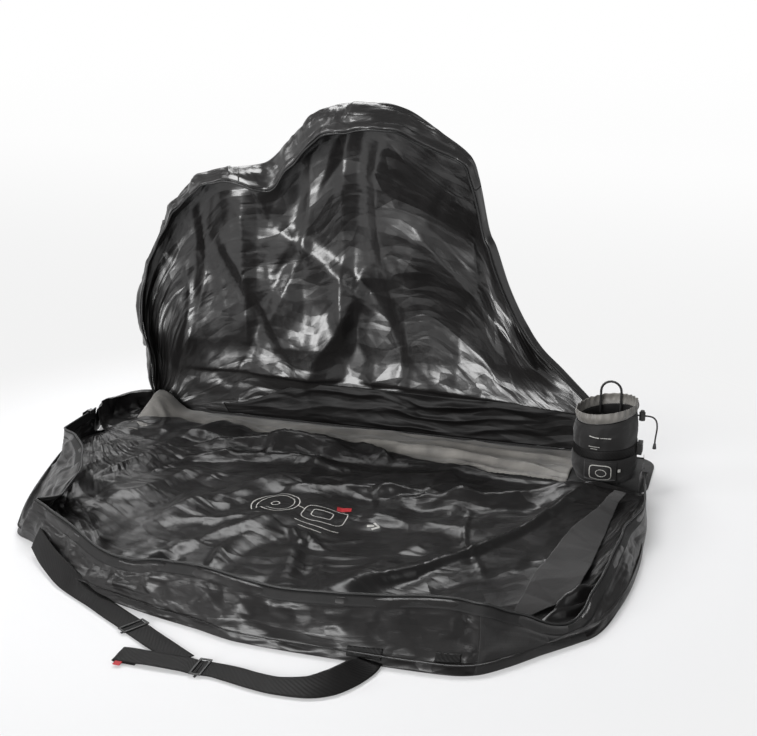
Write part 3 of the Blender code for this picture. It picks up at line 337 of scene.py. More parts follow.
def plainCanvas(name, colours):
    # heavier uncoated canvas: matte, a little greyer, with a visible plain weave
    material, tree, shader = newMaterial(name, colours[0], 0.7, 0.3)
    space = clothSpace(tree)
    shadeBy(tree, shader, noise(tree, space, 22.0, 4.0)["Fac"], colours, canvas["rough"])
    scale = 1000 / canvas["thread"] / 2 / 3.14159
    warp, weft = [ribs(tree, space, scale, way) for way in "XY"]
    slub = bump(tree, noise(tree, space, 60.0, 3.0)["Fac"], 0.0012, 0.5)
    weave = bump(tree, maths(tree, "MULTIPLY", warp, weft), 0.0003, 0.5, slub)
    tree.links.new(weave, shader.inputs["Normal"])
    shader.inputs["Sheen Weight"].default_value = 0.15
    return material


webbing = {
    "colours": ("#0b0a0a", "#131212"),
    "rib": 2.2,           # mm between the chevrons of the weave
}


def wovenWebbing():
    # black polypropylene webbing: matte, ribbed across, a little paler where the ribs stand up, a painted
    # highlight on their crests
    material, tree, shader = newMaterial("polypropylene webbing", webbing["colours"][0], 0.62, 0.2)
    space = clothSpace(tree)
    weave = ribs(tree, space, 1000 / webbing["rib"] / 6.28, "DIAGONAL", 0.4)
    cloud = noise(tree, space, 30.0, 2.0)["Fac"]
    shadeBy(tree, shader, maths(tree, "MULTIPLY", weave, cloud), webbing["colours"])
    tree.links.new(bump(tree, weave, 0.0005, 0.6), shader.inputs["Normal"])
    return material


def pattern(tree, space, kind, scale, detail):
    if kind == "cells":
        return addNode(tree, "TexVoronoi", {"Vector": space, "Scale": scale}).outputs["Distance"]
    if kind == "ribs":
        return ribs(tree, space, scale)
    return noise(tree, space, scale, detail)["Fac"]


def plainFinish(name, base, rough, specular, shade, colours=None, roughs=None, relief=None, depth=None,
                onCloth=False):
    # a finish shaded by one pattern, raised by another or the same: depth is in metres, then the strength
    material, tree, shader = newMaterial(name, base, rough, specular)
    space = clothSpace(tree) if onCloth else addNode(tree, "TexCoord").outputs["Object"]
    first = pattern(tree, space, *shade)
    shadeBy(tree, shader, first, colours, roughs)
    if depth:
        second = pattern(tree, space, *relief) if relief else first
        tree.links.new(bump(tree, second, *depth), shader.inputs["Normal"])
    return material


def mouldedPlastic(name, colour, rough):
    # black injection moulded plastic: an even satin skin with a faint spark texture
    return plainFinish(name, colour, rough, 0.45, ("noise", 900.0, 2.0), roughs=(rough - 0.06, rough + 0.08),
                       depth=(0.0002, 0.25))


coatedCloth = coatedPolyester("coated polyester", "front")
# the back half's copy of the cloth is painted paler, as if lit
drapeClothPaintedLit = coatedPolyester("coated polyester, hanging, painted paler as if lit", "back")
outerCloth = coatedPolyester("uncoated polyester", "outer")
# the foot band's copy of the cloth is painted darker, as if in shade
bandClothPaintedShade = coatedPolyester("gathered polyester, painted darker as if in shade", "band")
canvasCloth = plainCanvas("black canvas", canvas["black"])
stiffCloth = plainCanvas("dark grey canvas", canvas["grey"])
webbingCloth = wovenWebbing()
plastic = mouldedPlastic("moulded acetal", "#171717", 0.42)
nylonCoil = mouldedPlastic("nylon zip coil", "#161616", 0.5)
# thin polyester with a soft satin sheen, and the small puckers of its seams every 16 mm
liningCloth = plainFinish("grey polyester lining", "#555350", 0.5, 0.4, ("noise", 14.0, 4.0),
                          ("#555350", "#7f7c77"), relief=("noise", 1000 / 16, 3.0), depth=(0.002, 0.5),
                          onCloth=True)
liningCloth.node_tree.nodes["Principled BSDF"].inputs["Sheen Weight"].default_value = 0.2
# knitted tape: matte, with a fine herringbone
tapeCloth = plainFinish("knitted zip tape", "#191919", 0.7, 0.3, ("noise", 40.0, 2.0), ("#131313", "#1c1b1b"),
                        relief=("ribs", 120.0, 0), depth=(0.0003, 0.5), onCloth=True)
# braided cord: paler strand crowns and darker gaps between them, painted shade in the braid's hollows
braid = plainFinish("braided polyester cord", "#181818", 0.65, 0.35, ("cells", 620.0, 0),
                    ("#252424", "#131313"), depth=(-0.0005, 0.7))
# die-cast zinc with black lacquer: smooth, with a sharper shine than the plastic
zinc = plainFinish("black lacquered zinc", "#131313", 0.3, 0.55, ("noise", 420.0, 3.0),
                   ("#121212", "#2a2a2a"), (0.24, 0.4))
# bare spring wire: bright metal with fine drawing marks
steel = plainFinish("drawn spring steel", "#b9b8b4", 0.28, 0.5, ("noise", 1500.0, 2.0), roughs=(0.22, 0.38))
steel.node_tree.nodes["Principled BSDF"].inputs["Metallic"].default_value = 1.0
redTab = plainFinish("red woven tab", "#a31e24", 0.6, 0.3, ("noise", 700.0, 2.0), ("#8c181e", "#ae282f"),
                     depth=(0.0003, 0.4))
# screen-printed ink: flat and matte, a little thinner in random patches
whiteInk = plainFinish("white screen ink", "#bfbeba", 0.6, 0.3, ("noise", 260.0, 3.0), ("#959490", "#bfbeba"))
redInk = plainFinish("red screen ink", "#b01f26", 0.6, 0.3, ("noise", 260.0, 3.0), ("#8a181e", "#b01f26"))
print("materials done")


# Shapes that several pieces share

def curveAt(table, places):
    # points of a smooth curve through the table's rows; places count rows from zero
    rows = np.array(table, float)
    last = len(rows) - 1
    index = np.clip(np.floor(places).astype(int), 0, last - 1)
    share = (places - index)[:, None]
    gaps = np.diff(rows, axis=0)
    slopes = np.zeros_like(rows)
    before, after = gaps[:-1], gaps[1:]
    limit = np.minimum(2 * np.abs(before), 2 * np.abs(after))
    inner = np.minimum(np.abs(before + after) / 2, limit) * np.sign(after)
    slopes[1:-1] = np.where(before * after > 0, inner, 0)
    slopes[0], slopes[-1] = gaps[0], gaps[-1]
    start, end = rows[index], rows[index + 1]
    slopeA, slopeB = slopes[index], slopes[index + 1]
    a = 2 * start - 2 * end + slopeA + slopeB
    b = 3 * (end - start) - 2 * slopeA - slopeB
    return ((a * share + b) * share + slopeA) * share + start


def smoothNoise(x, y, size, seed):
    # soft random hills about size metres apart, from -1 to 1
    grid = np.random.default_rng(seed).uniform(-1, 1, (64, 64))
    gx, gy = x / size + 17.3, y / size + 29.1
    ix, iy = np.floor(gx).astype(int), np.floor(gy).astype(int)
    fx, fy = gx - ix, gy - iy
    fx, fy = fx * fx * (3 - 2 * fx), fy * fy * (3 - 2 * fy)
    low = grid[iy % 64, ix % 64] * (1 - fx) + grid[iy % 64, (ix + 1) % 64] * fx
    high = grid[(iy + 1) % 64, ix % 64] * (1 - fx) + grid[(iy + 1) % 64, (ix + 1) % 64] * fx
    return low * (1 - fy) + high * fy


def foldHeights(x, y, folds, sharp=1.35):
    # each fold: from x, y, to x, y, height, reach on its left side, reach on its right side
    total = np.zeros_like(x)
    for x1, y1, x2, y2, height, left, right in folds:
        dx, dy = x2 - x1, y2 - y1
        span = math.hypot(dx, dy)
        along = ((x - x1) * dx + (y - y1) * dy) / span ** 2
        side = ((x - x1) * dy - (y - y1) * dx) / span
        bend = 0.08 * span * np.sin(math.pi * np.clip(along, 0, 1)) * math.sin(37 * (x1 + y1))
        side = side + bend
        ease = np.clip(np.minimum(along + 0.12, 1.12 - along) / 0.3, 0, 1)
        ease = ease * ease * (3 - 2 * ease)
        away = np.abs(side) / np.where(side < 0, left, right)
        total += height * ease * np.clip(1 - away, 0, 1) ** sharp
    return total


def facets(x, y, size, height, seed, turn=0, stretch=1.0):
    # heights of crumpled cloth: flat triangles between scattered points, drawn out along a heading
    angle = math.radians(turn)
    s = (x * math.cos(angle) + y * math.sin(angle)) / (size * stretch)
    t = (y * math.cos(angle) - x * math.sin(angle)) / size
    columns, rows = int(s.max() - s.min()) + 5, int(t.max() - t.min()) + 5
    random = np.random.default_rng(seed)
    bm = bmesh.new()
    bmesh.ops.create_grid(bm, x_segments=columns, y_segments=rows, size=0.5)
    for vert in bm.verts:
        shift = random.uniform(-0.42, 0.42, 2)
        vert.co.x = (vert.co.x + 0.5) * columns + s.min() - 2 + shift[0]
        vert.co.y = (vert.co.y + 0.5) * rows + t.min() - 2 + shift[1]
        vert.co.z = random.uniform(-1, 1)
    bmesh.ops.triangulate(bm, faces=bm.faces, quad_method="SHORT_EDGE", ngon_method="BEAUTY")
    tree = BVHTree.FromBMesh(bm)
    bm.free()
    down = Vector((0, 0, -1))
    rise = [tree.ray_cast(Vector((p, q, 5)), down)[0].z for p, q in zip(s.ravel(), t.ravel())]
    return height * np.array(rise).reshape(x.shape)


def crumple(x, y, table, seed=0):
    # facets of several sizes on top of each other: size, height, seed, heading, how far they are drawn out
    return sum(facets(x, y, size, height, seed + own, turn, stretch)
               for size, height, own, turn, stretch in table)


def mainFolds(x, y, table, height, steep, slack):
    # the main folds, each steep on one side and slack on the other: both ends, then a share of the height
    folds = []
    for i, (x1, y1, x2, y2, rise) in enumerate(table):
        sides = (steep, slack) if i % 2 else (slack, steep)
        folds.append((x1, y1, x2, y2, height * rise, *sides))
    return foldHeights(x, y, folds, 1.15)


def sheetMesh(name, points, flat):
    # a grid of cloth through rows of points, with its flat pattern in metres as its UV map
    rows, columns = points.shape[:2]
    bm = bmesh.new()
    bm.loops.layers.uv.new("cloth")
    bmesh.ops.create_grid(bm, x_segments=columns - 1, y_segments=rows - 1, size=0.5, calc_uvs=True)
    mesh = meshOf(name, bm)
    mesh.vertices.foreach_set("co", points.reshape(-1))
    uvs = np.empty(2 * len(mesh.loops))
    mesh.uv_layers["cloth"].data.foreach_get("uv", uvs)
    mesh.uv_layers["cloth"].data.foreach_set("uv", (uvs.reshape(-1, 2) * flat).reshape(-1))
    mesh.update()
    return mesh


def addPiece(name, mesh, material, slot, body, *nodes):
    obj = bpy.data.objects.new(name, mesh)
    bpy.context.scene.collection.objects.link(obj)
    mesh.materials.append(material)
    if body:
        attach(obj, body)
    if nodes:
        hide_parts(*nodes)
    return obj


def thicken(obj, thickness, offset=-1.0):
    solid = obj.modifiers.new("cloth thickness", "SOLIDIFY")
    solid.thickness = thickness
    solid.offset = offset


def unit(vectors):
    return vectors / np.linalg.norm(vectors, axis=-1)[..., None]


def rowsOf(count):
    return np.linspace(0, 1, count)


def distances(line):
    # how far each point lies along a line from its start
    return np.concatenate([[0], np.cumsum(np.linalg.norm(np.diff(line, axis=0), axis=1))])


def sharpEdges(bm, angle):
    # the edges that bend by more than an angle in radians
    return [edge for edge in bm.edges if edge.calc_face_angle(0) > angle]


def roundEdges(bm, edges, size, segments=3):
    bmesh.ops.bevel(bm, geom=edges, offset=size, segments=segments, profile=0.5, affect="EDGES", material=-1)


def areaOf(points):
    # area of a grid of points, for the sizes that the sheets are cut to
    a = points[1:, :-1] - points[:-1, :-1]
    b = points[:-1, 1:] - points[:-1, :-1]
    return float(np.linalg.norm(np.cross(a, b), axis=2).sum())


leastWidth = 0.0101      # metres; the least width that cutSize gives a sheet; metres; the narrowest sheet that can be declared
leastShare = 0.31        # and the least share of its flat rectangle that a sheet's cloth fills


def cutSize(points):
    # the size a cloth was cut to: its mean length along and across, and its area
    along, across = [float(np.linalg.norm(np.diff(points, axis=axis), axis=2).sum(axis=axis).mean())
                     for axis in (1, 0)]
    across = max(across, leastWidth)
    return (along, across), min(areaOf(points), along * across)


def clothPiece(name, points, material, body, nodes, thickness, slot, offset=-1.0, extras=None):
    # a sheet of cloth through rows of points, with its thickness and its place on a body
    flat, area = cutSize(points)
    obj = addPiece(name, sheetMesh(name, points, flat), material, slot, body, *nodes)
    thicken(obj, thickness, offset)
    max(area, leastShare * flat[0] * flat[1])
    extras(obj) if extras else ()
    return obj


def castOn(target, away):
    # finds the point of a piece's surface that a ray meets, lifted a little off it
    bm = bmesh.new()
    bm.from_mesh(target.data)
    tree = BVHTree.FromBMesh(bm)
    bm.free()
    way = Vector(away).normalized()

    def cast(point, lift):
        spot = tree.ray_cast(Vector(point) + way * 0.6, -way)[0]
        return (spot if spot else Vector(point)) + way * lift

    return cast


def printStrokes(name, lines, material, body, place, slot):
    # printed lines: each a width and points in the plane that place turns into points on the cloth
    bm = bmesh.new()
    for width, line in lines:
        line = np.array(line, float)
        run = distances(line)
        count = max(3, int(run[-1] / 0.004) + 1)
        at = np.linspace(0, run[-1], count)
        middle = np.column_stack([np.interp(at, run, line[:, k]) for k in (0, 1)])
        ahead = unit(np.gradient(middle, axis=0))
        side = np.column_stack([-ahead[:, 1], ahead[:, 0]]) * width / 2
        across = max(1, int(width / 0.005))
        verts = bmesh.ops.create_grid(bm, x_segments=count - 1, y_segments=across, size=0.5)["verts"]
        spots = np.concatenate([middle + side * share for share in np.linspace(-1, 1, across + 1)])
        for vert, (a, b) in zip(verts, spots):
            vert.co = place(a, b)
    return addPiece(name, meshOf(name, bm), material, slot, body)


def ringLine(x, y, across, up, count=40):
    angles = np.linspace(0, 2 * math.pi, count)
    return [(x + across * math.cos(angle), y + up * math.sin(angle)) for angle in angles]


def boxLine(x, y, across, up, count=48):
    # a ring drawn out into a rounded frame
    ring = ringLine(0, 0, 1, 1, count)
    square = [[math.copysign(abs(place) ** 0.4, place) for place in point] for point in ring]
    return [(x + across * a, y + up * b) for a, b in square]


def sewnPatch(name, node, target, body, start, end, low, high, out, material, slot):
    # a small flat patch sewn on a standing cloth, from start to end and from low to high
    cast = castOn(target, out)
    places = np.array(start) + (np.array(end) - np.array(start)) * rowsOf(25)[:, None]
    points = np.array([[cast((x, y, z), 0.0022) for x, y in places] for z in np.linspace(low, high, 7)])
    obj = addPiece(name, sheetMesh(name, points, cutSize(points)[0]), material, slot, body, node)
    thicken(obj, 0.0012, 0.0)
    return obj


def smooth(share):
    share = np.clip(share, 0, 1)
    return share * share * (3 - 2 * share)


# Outline of the front half: on the floor x and y, at the wall's top x and y, then how high the wall is.
# Shares of half the base's length, of the front half's depth (twice each) and of the wall's height, from
# the left end of the fold round the front to the right end.
frontEdge = [
    (-1.135, 0.005, -1.129, 0.005, 0.59),
    (-1.138, 0.087, -1.132, 0.087, 0.59),
    (-1.141, 0.168, -1.135, 0.168, 0.59),
    (-1.115, 0.272, -1.029, 0.274, 0.88),
    (-1.066, 0.413, -0.919, 0.391, 1.0),
    (-1.021, 0.522, -0.846, 0.511, 1.0),
    (-0.963, 0.630, -0.824, 0.620, 0.88),
    (-0.929, 0.672, -0.868, 0.668, 0.82),
    (-0.832, 0.712, -0.801, 0.704, 0.76),
    (-0.656, 0.837, -0.640, 0.793, 0.76),
    (-0.515, 0.889, -0.507, 0.853, 0.71),
    (-0.400, 0.916, -0.397, 0.875, 0.71),
    (-0.279, 0.942, -0.279, 0.897, 0.82),
    (-0.124, 0.968, -0.124, 0.913, 0.88),
    (0.031, 0.995, 0.031, 0.929, 0.88),
    (0.240, 1.0, 0.240, 0.929, 0.92),
    (0.441, 1.0, 0.441, 0.918, 0.96),
    (0.588, 0.997, 0.588, 0.897, 1.0),
    (0.693, 0.980, 0.681, 0.890, 0.94),
    (0.772, 0.929, 0.757, 0.860, 0.72),
    (0.846, 0.864, 0.830, 0.835, 0.42),
    (0.919, 0.804, 0.900, 0.788, 0.17),
    (0.974, 0.750, 0.945, 0.734, 0.17),
    (1.006, 0.663, 0.968, 0.652, 0.32),
    (1.034, 0.508, 0.992, 0.508, 0.50),
    (1.040, 0.382, 1.005, 0.382, 0.58),
    (1.0294, 0.250, 1.0265, 0.250, 0.59),
    (1.0118, 0.1277, 1.0088, 0.1277, 0.59),
    (0.9941, 0.0054, 0.9912, 0.0054, 0.59),
]
frontLast = len(frontEdge) - 1
leftWallEnd, canvasStart, canvasEnd = 7, 18, 21.5     # places where one cloth is sewn to the next

# Outline of the back half: x as a share of half the base's length, z as a share of its height
backEdge = [
    (-1.029, 0.011), (-1.062, 0.080), (-1.069, 0.159), (-1.096, 0.273), (-1.101, 0.364),
    (-1.066, 0.477), (-1.015, 0.559), (-0.949, 0.648), (-0.882, 0.710), (-0.797, 0.761),
    (-0.706, 0.786), (-0.618, 0.794), (-0.535, 0.805), (-0.419, 0.878), (-0.326, 0.944),
    (-0.240, 0.983), (-0.144, 0.997), (-0.049, 1.0), (0.046, 0.983), (0.169, 0.917),
    (0.268, 0.856), (0.303, 0.788), (0.341, 0.647), (0.372, 0.594), (0.422, 0.477),
    (0.485, 0.372), (0.550, 0.301), (0.632, 0.244), (0.735, 0.170), (0.838, 0.097), (0.926, 0.023),
]
backLast = len(backEdge) - 1


frontWaver = 0.005     # how far the top of the front half's slack wall wanders
# places at its left and right end where it stays straight for the sliders, and over which it eases
zipHold = (1.7, 1.1, 1.4)


def onFloor(across, out):
    # x and y of places given as shares of half the base's length and of the front half's depth
    return across * halfLength, -halfWidth - out * frontDepth


def frontFeet(places):
    edge = curveAt(frontEdge, places)
    return np.column_stack([*onFloor(edge[:, 0], edge[:, 1]), 0 * places])


def wavers(far, hold, seeds, size, fineSize, fineShare):
    # slow wander with a finer one on top, along a line, for each seed
    return [hold * (smoothNoise(far, far * 0, size, seed)
                    + fineShare * smoothNoise(far, far * 0, fineSize, seed + 1)) for seed in seeds]


def frontTops(places):
    edge = curveAt(frontEdge, places)
    x, y = onFloor(edge[:, 2], edge[:, 3])
    hold = smooth(np.minimum(places - zipHold[0], frontLast - places - zipHold[1]) / zipHold[2])
    waver = wavers(np.asarray(places) * 0.11, hold, (201, 203, 205), 0.21, 0.07, 0.6)
    return np.column_stack([x, y, edge[:, 4] * wallHeight]) + frontWaver * np.column_stack(waver)


def outwards(feet):
    # level direction away from the middle of the front half
    away = feet - np.array([0, -halfWidth - 0.5 * frontDepth, 0])
    away[:, 2] = 0
    return unit(away)


# Front half: the panel that lies on the floor

frontPanel = {
    "columns": 290, "rows": 165,
    "overBase": 0.115,      # how far the slack cloth laps over the front of the base, at the left
    "rest": 0.0032,         # height of flat cloth above the floor
    "lift": 0.009, "least": 0.004,      # added height of the slack cloth, and its least
    "lapRidge": 0.008, "fillet": 0.016,     # rise of the lap's edge, and of the cloth towards the wall's foot
    "warp": 0.014,
    "ridgeHeight": 0.018, "ridgeSides": (0.034, 0.08),
    # main folds: both ends as shares of half the base's length and of the depth, then a share of the height
    "ridges": [
        ((-0.62, 0.10), (0.0, 0.07), 0.9),
        ((-0.64, 0.19), (-0.02, 0.13), 0.5),
        ((0.02, 0.20), (0.40, 0.17), 0.6),
        ((0.30, 0.25), (0.74, 0.08), 1.0),
        ((0.10, 0.33), (0.50, 0.36), 0.7),
        ((-0.52, 0.55), (-0.24, 0.17), 0.9),
        ((-0.76, 0.44), (-0.60, 0.16), 0.7),
        ((-0.60, 0.62), (-0.50, 0.32), 0.6),
        ((-0.44, 0.78), (-0.10, 0.42), 0.7),
        ((-0.20, 0.84), (-0.10, 0.58), 0.6),
        ((0.12, 0.86), (-0.02, 0.55), 0.8),
        ((0.42, 0.62), (0.80, 0.10), 1.0),
        ((0.16, 0.80), (0.46, 0.50), 0.7),
        ((0.44, 0.86), (0.62, 0.60), 0.6),
    ],
    # crumpling: size of a facet, its height, seed, how far it is drawn out
    "facets": [(0.088, 0.0165, 11, 2.3), (0.040, 0.0046, 21, 1.3), (0.018, 0.0008, 31, 1.5)],
    # single folds: from x, y to x, y, height, reach to each side, in metres
    "folds": [
        (-0.46, -0.160, -0.10, -0.070, 0.030, 0.016, 0.064),
        (-0.44, -0.215, -0.13, -0.155, 0.014, 0.012, 0.032),
        (-0.06, -0.040, 0.05, -0.105, 0.016, 0.014, 0.036),
        (-0.14, -0.350, 0.13, -0.310, 0.016, 0.012, 0.036),
        (0.14, -0.335, 0.56, -0.160, 0.022, 0.014, 0.050),
        (-0.50, -0.352, -0.447, -0.233, 0.010, 0.018, 0.020),
        (-0.30, -0.600, -0.12, -0.480, 0.010, 0.020, 0.030),
        (-0.12, -0.880, -0.16, -0.680, 0.010, 0.020, 0.030),
        (0.15, -0.920, 0.05, -0.660, 0.010, 0.020, 0.030),
        (0.06, -0.330, 0.30, -0.300, 0.022, 0.034, 0.020),
        (0.183, -0.336, 0.264, -0.174, 0.008, 0.020, 0.030),
        (0.20, -0.760, 0.545, -0.170, 0.020, 0.060, 0.016),
        (0.307, -0.357, 0.40, -0.640, 0.005, 0.008, 0.010),
        (0.684, -0.600, 0.570, -0.745, 0.026, 0.020, 0.030),
        (0.676, -0.660, 0.560, -0.805, 0.022, 0.016, 0.024),
        (0.668, -0.735, 0.600, -0.850, 0.016, 0.014, 0.020),
        (0.640, -0.560, 0.600, -0.720, 0.014, 0.016, 0.024),
        (-0.02, -0.560, 0.04, -0.620, 0.014, 0.020, 0.020),
        (0.00, -0.620, -0.05, -0.560, 0.012, 0.016, 0.020),
        (0.02, -0.590, 0.12, -0.540, 0.010, 0.016, 0.016),
    ],
}


def foldLine(places):
    # where the front half bends off the base
    first, last = frontEdge[0][0], frontEdge[-1][0]
    x = (first + (last - first) * places / frontLast) * halfLength
    return np.column_stack([x, np.full_like(x, -halfWidth), np.zeros_like(x)])


def lapReach(x):
    # the slack cloth laps further over the base at the left than beside the pouch
    share = smooth((0.47 - x) / 0.75)
    wave = 0.006 * np.sin(x * 41) + 0.004 * np.sin(x * 97 + 1)
    return (frontPanel["overBase"] * share + wave * share) * smooth((x + 0.76) / 0.1)


def frontCloth(x, y, depth):
    # height of the front panel's slack cloth over any point of it
    table = [(*onFloor(*start), *onFloor(*end), rise) for start, end, rise in frontPanel["ridges"]]
    ease = np.clip(np.minimum(10 * (depth - 0.016), 8 * (0.93 - depth)), 0, 1)
    rise = mainFolds(x, y, table, frontPanel["ridgeHeight"], *frontPanel["ridgeSides"]) * ease
    rise += foldHeights(x, y, frontPanel["folds"])
    warpX = x + frontPanel["warp"] * smoothNoise(x, y, 0.3, 5)
    warpY = y + frontPanel["warp"] * smoothNoise(x, y, 0.3, 6)
    left = smooth((-0.10 - x) / 0.2)
    right = smooth((x - 0.15) / 0.2)
    # each part of the panel: its share, the heading of its facets and how far they are drawn out
    parts = [(left, 62, 1.0), (1 - left - right, 78, 1.0), (0.8 * right, 48, 1.3)]
    for size, height, seed, stretch in frontPanel["facets"]:
        for i, (share, turn, longer) in enumerate(parts):
            rise += share * facets(warpX, warpY, size, height, seed + i, turn, longer * stretch)
    rise = rise + frontPanel["lift"]
    least = frontPanel["least"]
    return np.where(rise > least, rise, least * np.exp(np.minimum(rise - least, 0) / least))


panelPrint = {
    # plain printed figures, each a width and its points: rings, rounded frames and lines; then a red block
    "white": [
        (0.0026, ringLine(-0.132, -0.450, 0.056, 0.060)),
        (0.0022, ringLine(-0.132, -0.450, 0.044, 0.048)),
        (0.0024, ringLine(-0.132, -0.450, 0.010, 0.010, count=14)),
        (0.0022, boxLine(-0.006, -0.468, 0.050, 0.034)),
        (0.0022, boxLine(-0.012, -0.466, 0.024, 0.016)),
        (0.0022, [(-0.076, -0.452), (-0.056, -0.462)]),
        (0.0022, [(-0.060, -0.519), (0.048, -0.530)]),
        (0.0022, [(-0.045, -0.539), (0.012, -0.545)]),
        (0.0080, [(0.100, -0.484), (0.116, -0.480)]),
        (0.0060, [(0.112, -0.468), (0.128, -0.480), (0.114, -0.494)]),
    ],
    "red": [(0.020, [(0.008, -0.420), (0.040, -0.412)])],
}


def printPanel(panel):
    cast = castOn(panel, (0, 0, 1))
    return [printStrokes("front_print_" + tint, panelPrint[tint], ink, "front_half",
                         lambda x, y: cast((x, y, 0), 0.0009), slot)
            for tint, ink, slot in (("white", whiteInk, "pale_print"), ("red", redInk, "red_label"))]


def makeFrontPanel():
    count, deep = frontPanel["columns"], frontPanel["rows"]
    places = np.linspace(0, frontLast, count)
    near, far = foldLine(places), frontFeet(places)
    far = far - outwards(far) * 0.0015
    lap = np.column_stack([near[:, 0], near[:, 1] + lapReach(near[:, 0]), near[:, 2]])
    lapRows = max(2, round(deep * 0.12))
    depth = np.linspace(1, 0, deep - lapRows)
    points = np.array([near + (far - near) * v for v in depth]
                      + [near + (lap - near) * v for v in np.linspace(0, 1, lapRows + 1)[1:]])
    x, y = points[..., 0], points[..., 1]
    edge = np.concatenate([smooth((1 - depth) * 14), np.ones(lapRows)])[:, None]
    sides = smooth(np.minimum(places, frontLast - places) / 1.2)[None, :]
    onBase = smooth((y + halfWidth + 0.012) / 0.02)
    share = np.concatenate([depth, np.full(lapRows, 0.016)])[:, None] + x * 0
    rise = frontCloth(x, y, share) * edge * (0.15 + 0.85 * sides)
    onto = y + halfWidth
    ridge = smooth(onto / 0.03) * smooth((lapReach(x) - onto) / 0.02) * frontPanel["lapRidge"]
    fillet = frontPanel["fillet"] * smooth((share - 0.945) / 0.055)
    points[..., 2] = frontPanel["rest"] + rise + onBase * (baseTop + 0.002) + ridge + fillet
    hem = (y > -halfWidth + lapReach(x) - 0.004) & (y > -halfWidth + 0.004)
    points[..., 2] = np.where(hem, baseTop + 0.0035, points[..., 2])
    obj = clothPiece("front_panel_cloth", points, coatedCloth, None, ["front_panel"], 0.0006,
                     "coated_cloth", extras=printPanel)
    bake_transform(obj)


makeFrontPanel()
print("front panel done")


# Front half: its wall, in four lengths of cloth

# how a cloth's hem laps over the zip tape: metres up it, metres off it
zipLap = [(0.007, 0.0013), (0.014, 0.0015), (0.0205, 0.0012)]

frontWall = {
    "perPlace": 30, "rows": 28,
    "bulge": 0.006,         # how far the slack wall hangs out between foot and top
    "stitchLine": 0.012,    # below the wall's top
    "stitchDepth": 0.0011, "stitchWidth": 0.0035,
    "endSeam": 0.018,       # flat cloth beside the seams at the ends of each length
    "crumple": [(0.040, 0.0085, 0, 24, 1.5), (0.021, 0.0040, 1, -38, 1.5)],
    "footCrumple": [(0.026, 0.0036, 2, 4, 3.0)],
    "clothThickness": 0.0007,
    # patches sewn on it: name, frame node, from and to, lower and upper height, cloth, slot
    "patches": [
        ("front_blank_label", "front_label", (0.397, -1.0), (0.443, -1.0), 0.018, 0.031,
         webbingCloth, "webbing"),
        ("strap_patch_left", "strap_anchor_left", (-0.507, -0.8275), (-0.3935, -0.9193), 0.006, 0.022,
         webbingCloth, "webbing"),
        ("strap_patch_right", "strap_anchor_right", (0.232, -1.0), (0.2985, -1.0), 0.009, 0.026,
         webbingCloth, "webbing"),
    ],
}


def wallGrid(start, end, rows):
    # grid of the wall's outer face, with the distance along it and up it for the creases
    columns = max(4, round((end - start) * frontWall["perPlace"])) + 1
    places = np.linspace(start, end, columns)
    feet, tops = frontFeet(places), frontTops(places)
    out = outwards(feet)
    run = distances(feet) + start * 0.1
    up = np.linalg.norm(tops - feet, axis=1)
    points = np.array([feet + (tops - feet) * t + out * frontWall["bulge"] * math.sin(math.pi * t)
                       for t in rowsOf(rows)])
    points[0, :, 2] = 0.001
    along = np.repeat(run[None, :], rows, axis=0)
    above = rowsOf(rows)[:, None] * up[None, :]
    return points, along, above, out


def tapeSlope(places):
    # way that the zip tape leaves the wall's top
    feet, tops = frontFeet(places), frontTops(places)
    out = outwards(feet)
    inner = feet - out * 0.005
    inner[:, 2] = cloth + 0.0008
    return unit(tops - (inner + tops) / 2 - out * 0.003)


def makeWall(name, start, end, material, node, seed, extras=None, calm=1.0):
    points, along, above, out = wallGrid(start, end, frontWall["rows"])
    t = rowsOf(frontWall["rows"])[:, None]
    high = smooth((t - 0.4) / 0.3)
    rise = (0.35 + 0.65 * high) * crumple(along, above, frontWall["crumple"], seed)
    rise += (1 - high) * crumple(along, above, frontWall["footCrumple"], seed)
    rise += 0.004 * smoothNoise(along, above, 0.12, seed) + 0.002
    rise = calm * rise * smooth(t * 9 + 0.15) * (0.25 + 0.75 * smooth((1 - t) * 7))
    # flat at its end seams
    rise *= smooth(np.minimum(along - along[0, 0], along[0, -1] - along) / frontWall["endSeam"] + 0.05)
    down = above.max(axis=0)[None, :] * (1 - t) - frontWall["stitchLine"]
    rise = rise - frontWall["stitchDepth"] * np.exp(-(down / frontWall["stitchWidth"]) ** 2)
    points = points + out[None, :, :] * rise[..., None]
    points[..., 2] += rise * 0.4
    slope = tapeSlope(np.linspace(start, end, points.shape[1]))
    hem = [points[-1] + slope * reach + out * lift for reach, lift in zipLap]
    points = np.concatenate([points, hem])
    slot = "canvas" if material == canvasCloth else "coated_cloth"
    return clothPiece(name, points, material, "front_half", [node], frontWall["clothThickness"],
                      slot, extras=extras)


def sewLabel(wall):
    patches = []
    for name, node, start, end, low, high, material, slot in frontWall["patches"]:
        out = (end[1] - start[1], start[0] - end[0], 0)
        patches.append(sewnPatch(name, node, wall, "front_half", start, end, low, high, out, material, slot))
    return patches


# each length of the wall: name, from and to, cloth, frame node, seed, how far it is crumpled
for name, start, end, material, node, seed, calm in (
        ("front_wall_left", 0, leftWallEnd, outerCloth, "front_gusset_left", 21, 1.0),
        ("front_wall_top", leftWallEnd, canvasStart, outerCloth, "front_gusset_top", 31, 1.0),
        ("front_wall_canvas", canvasStart, canvasEnd, canvasCloth, "front_gusset_canvas", 41, 0.8),
        ("front_wall_right", canvasEnd, frontLast, outerCloth, "front_gusset_right", 51, 0.45)):
    makeWall(name, start, end, material, node, seed, sewLabel if name == "front_wall_top" else None, calm)
print("front wall done")


# Zips: a knitted tape along each half's edge, with its nylon coil

zipTapeSizes = {
    "width": 0.022, "thickness": 0.0014, "coil": 0.0024,
    "rows": 5, "gap": 0.0006,
    "ripple": 0.0014,       # the tape wavers a little between stitches
}


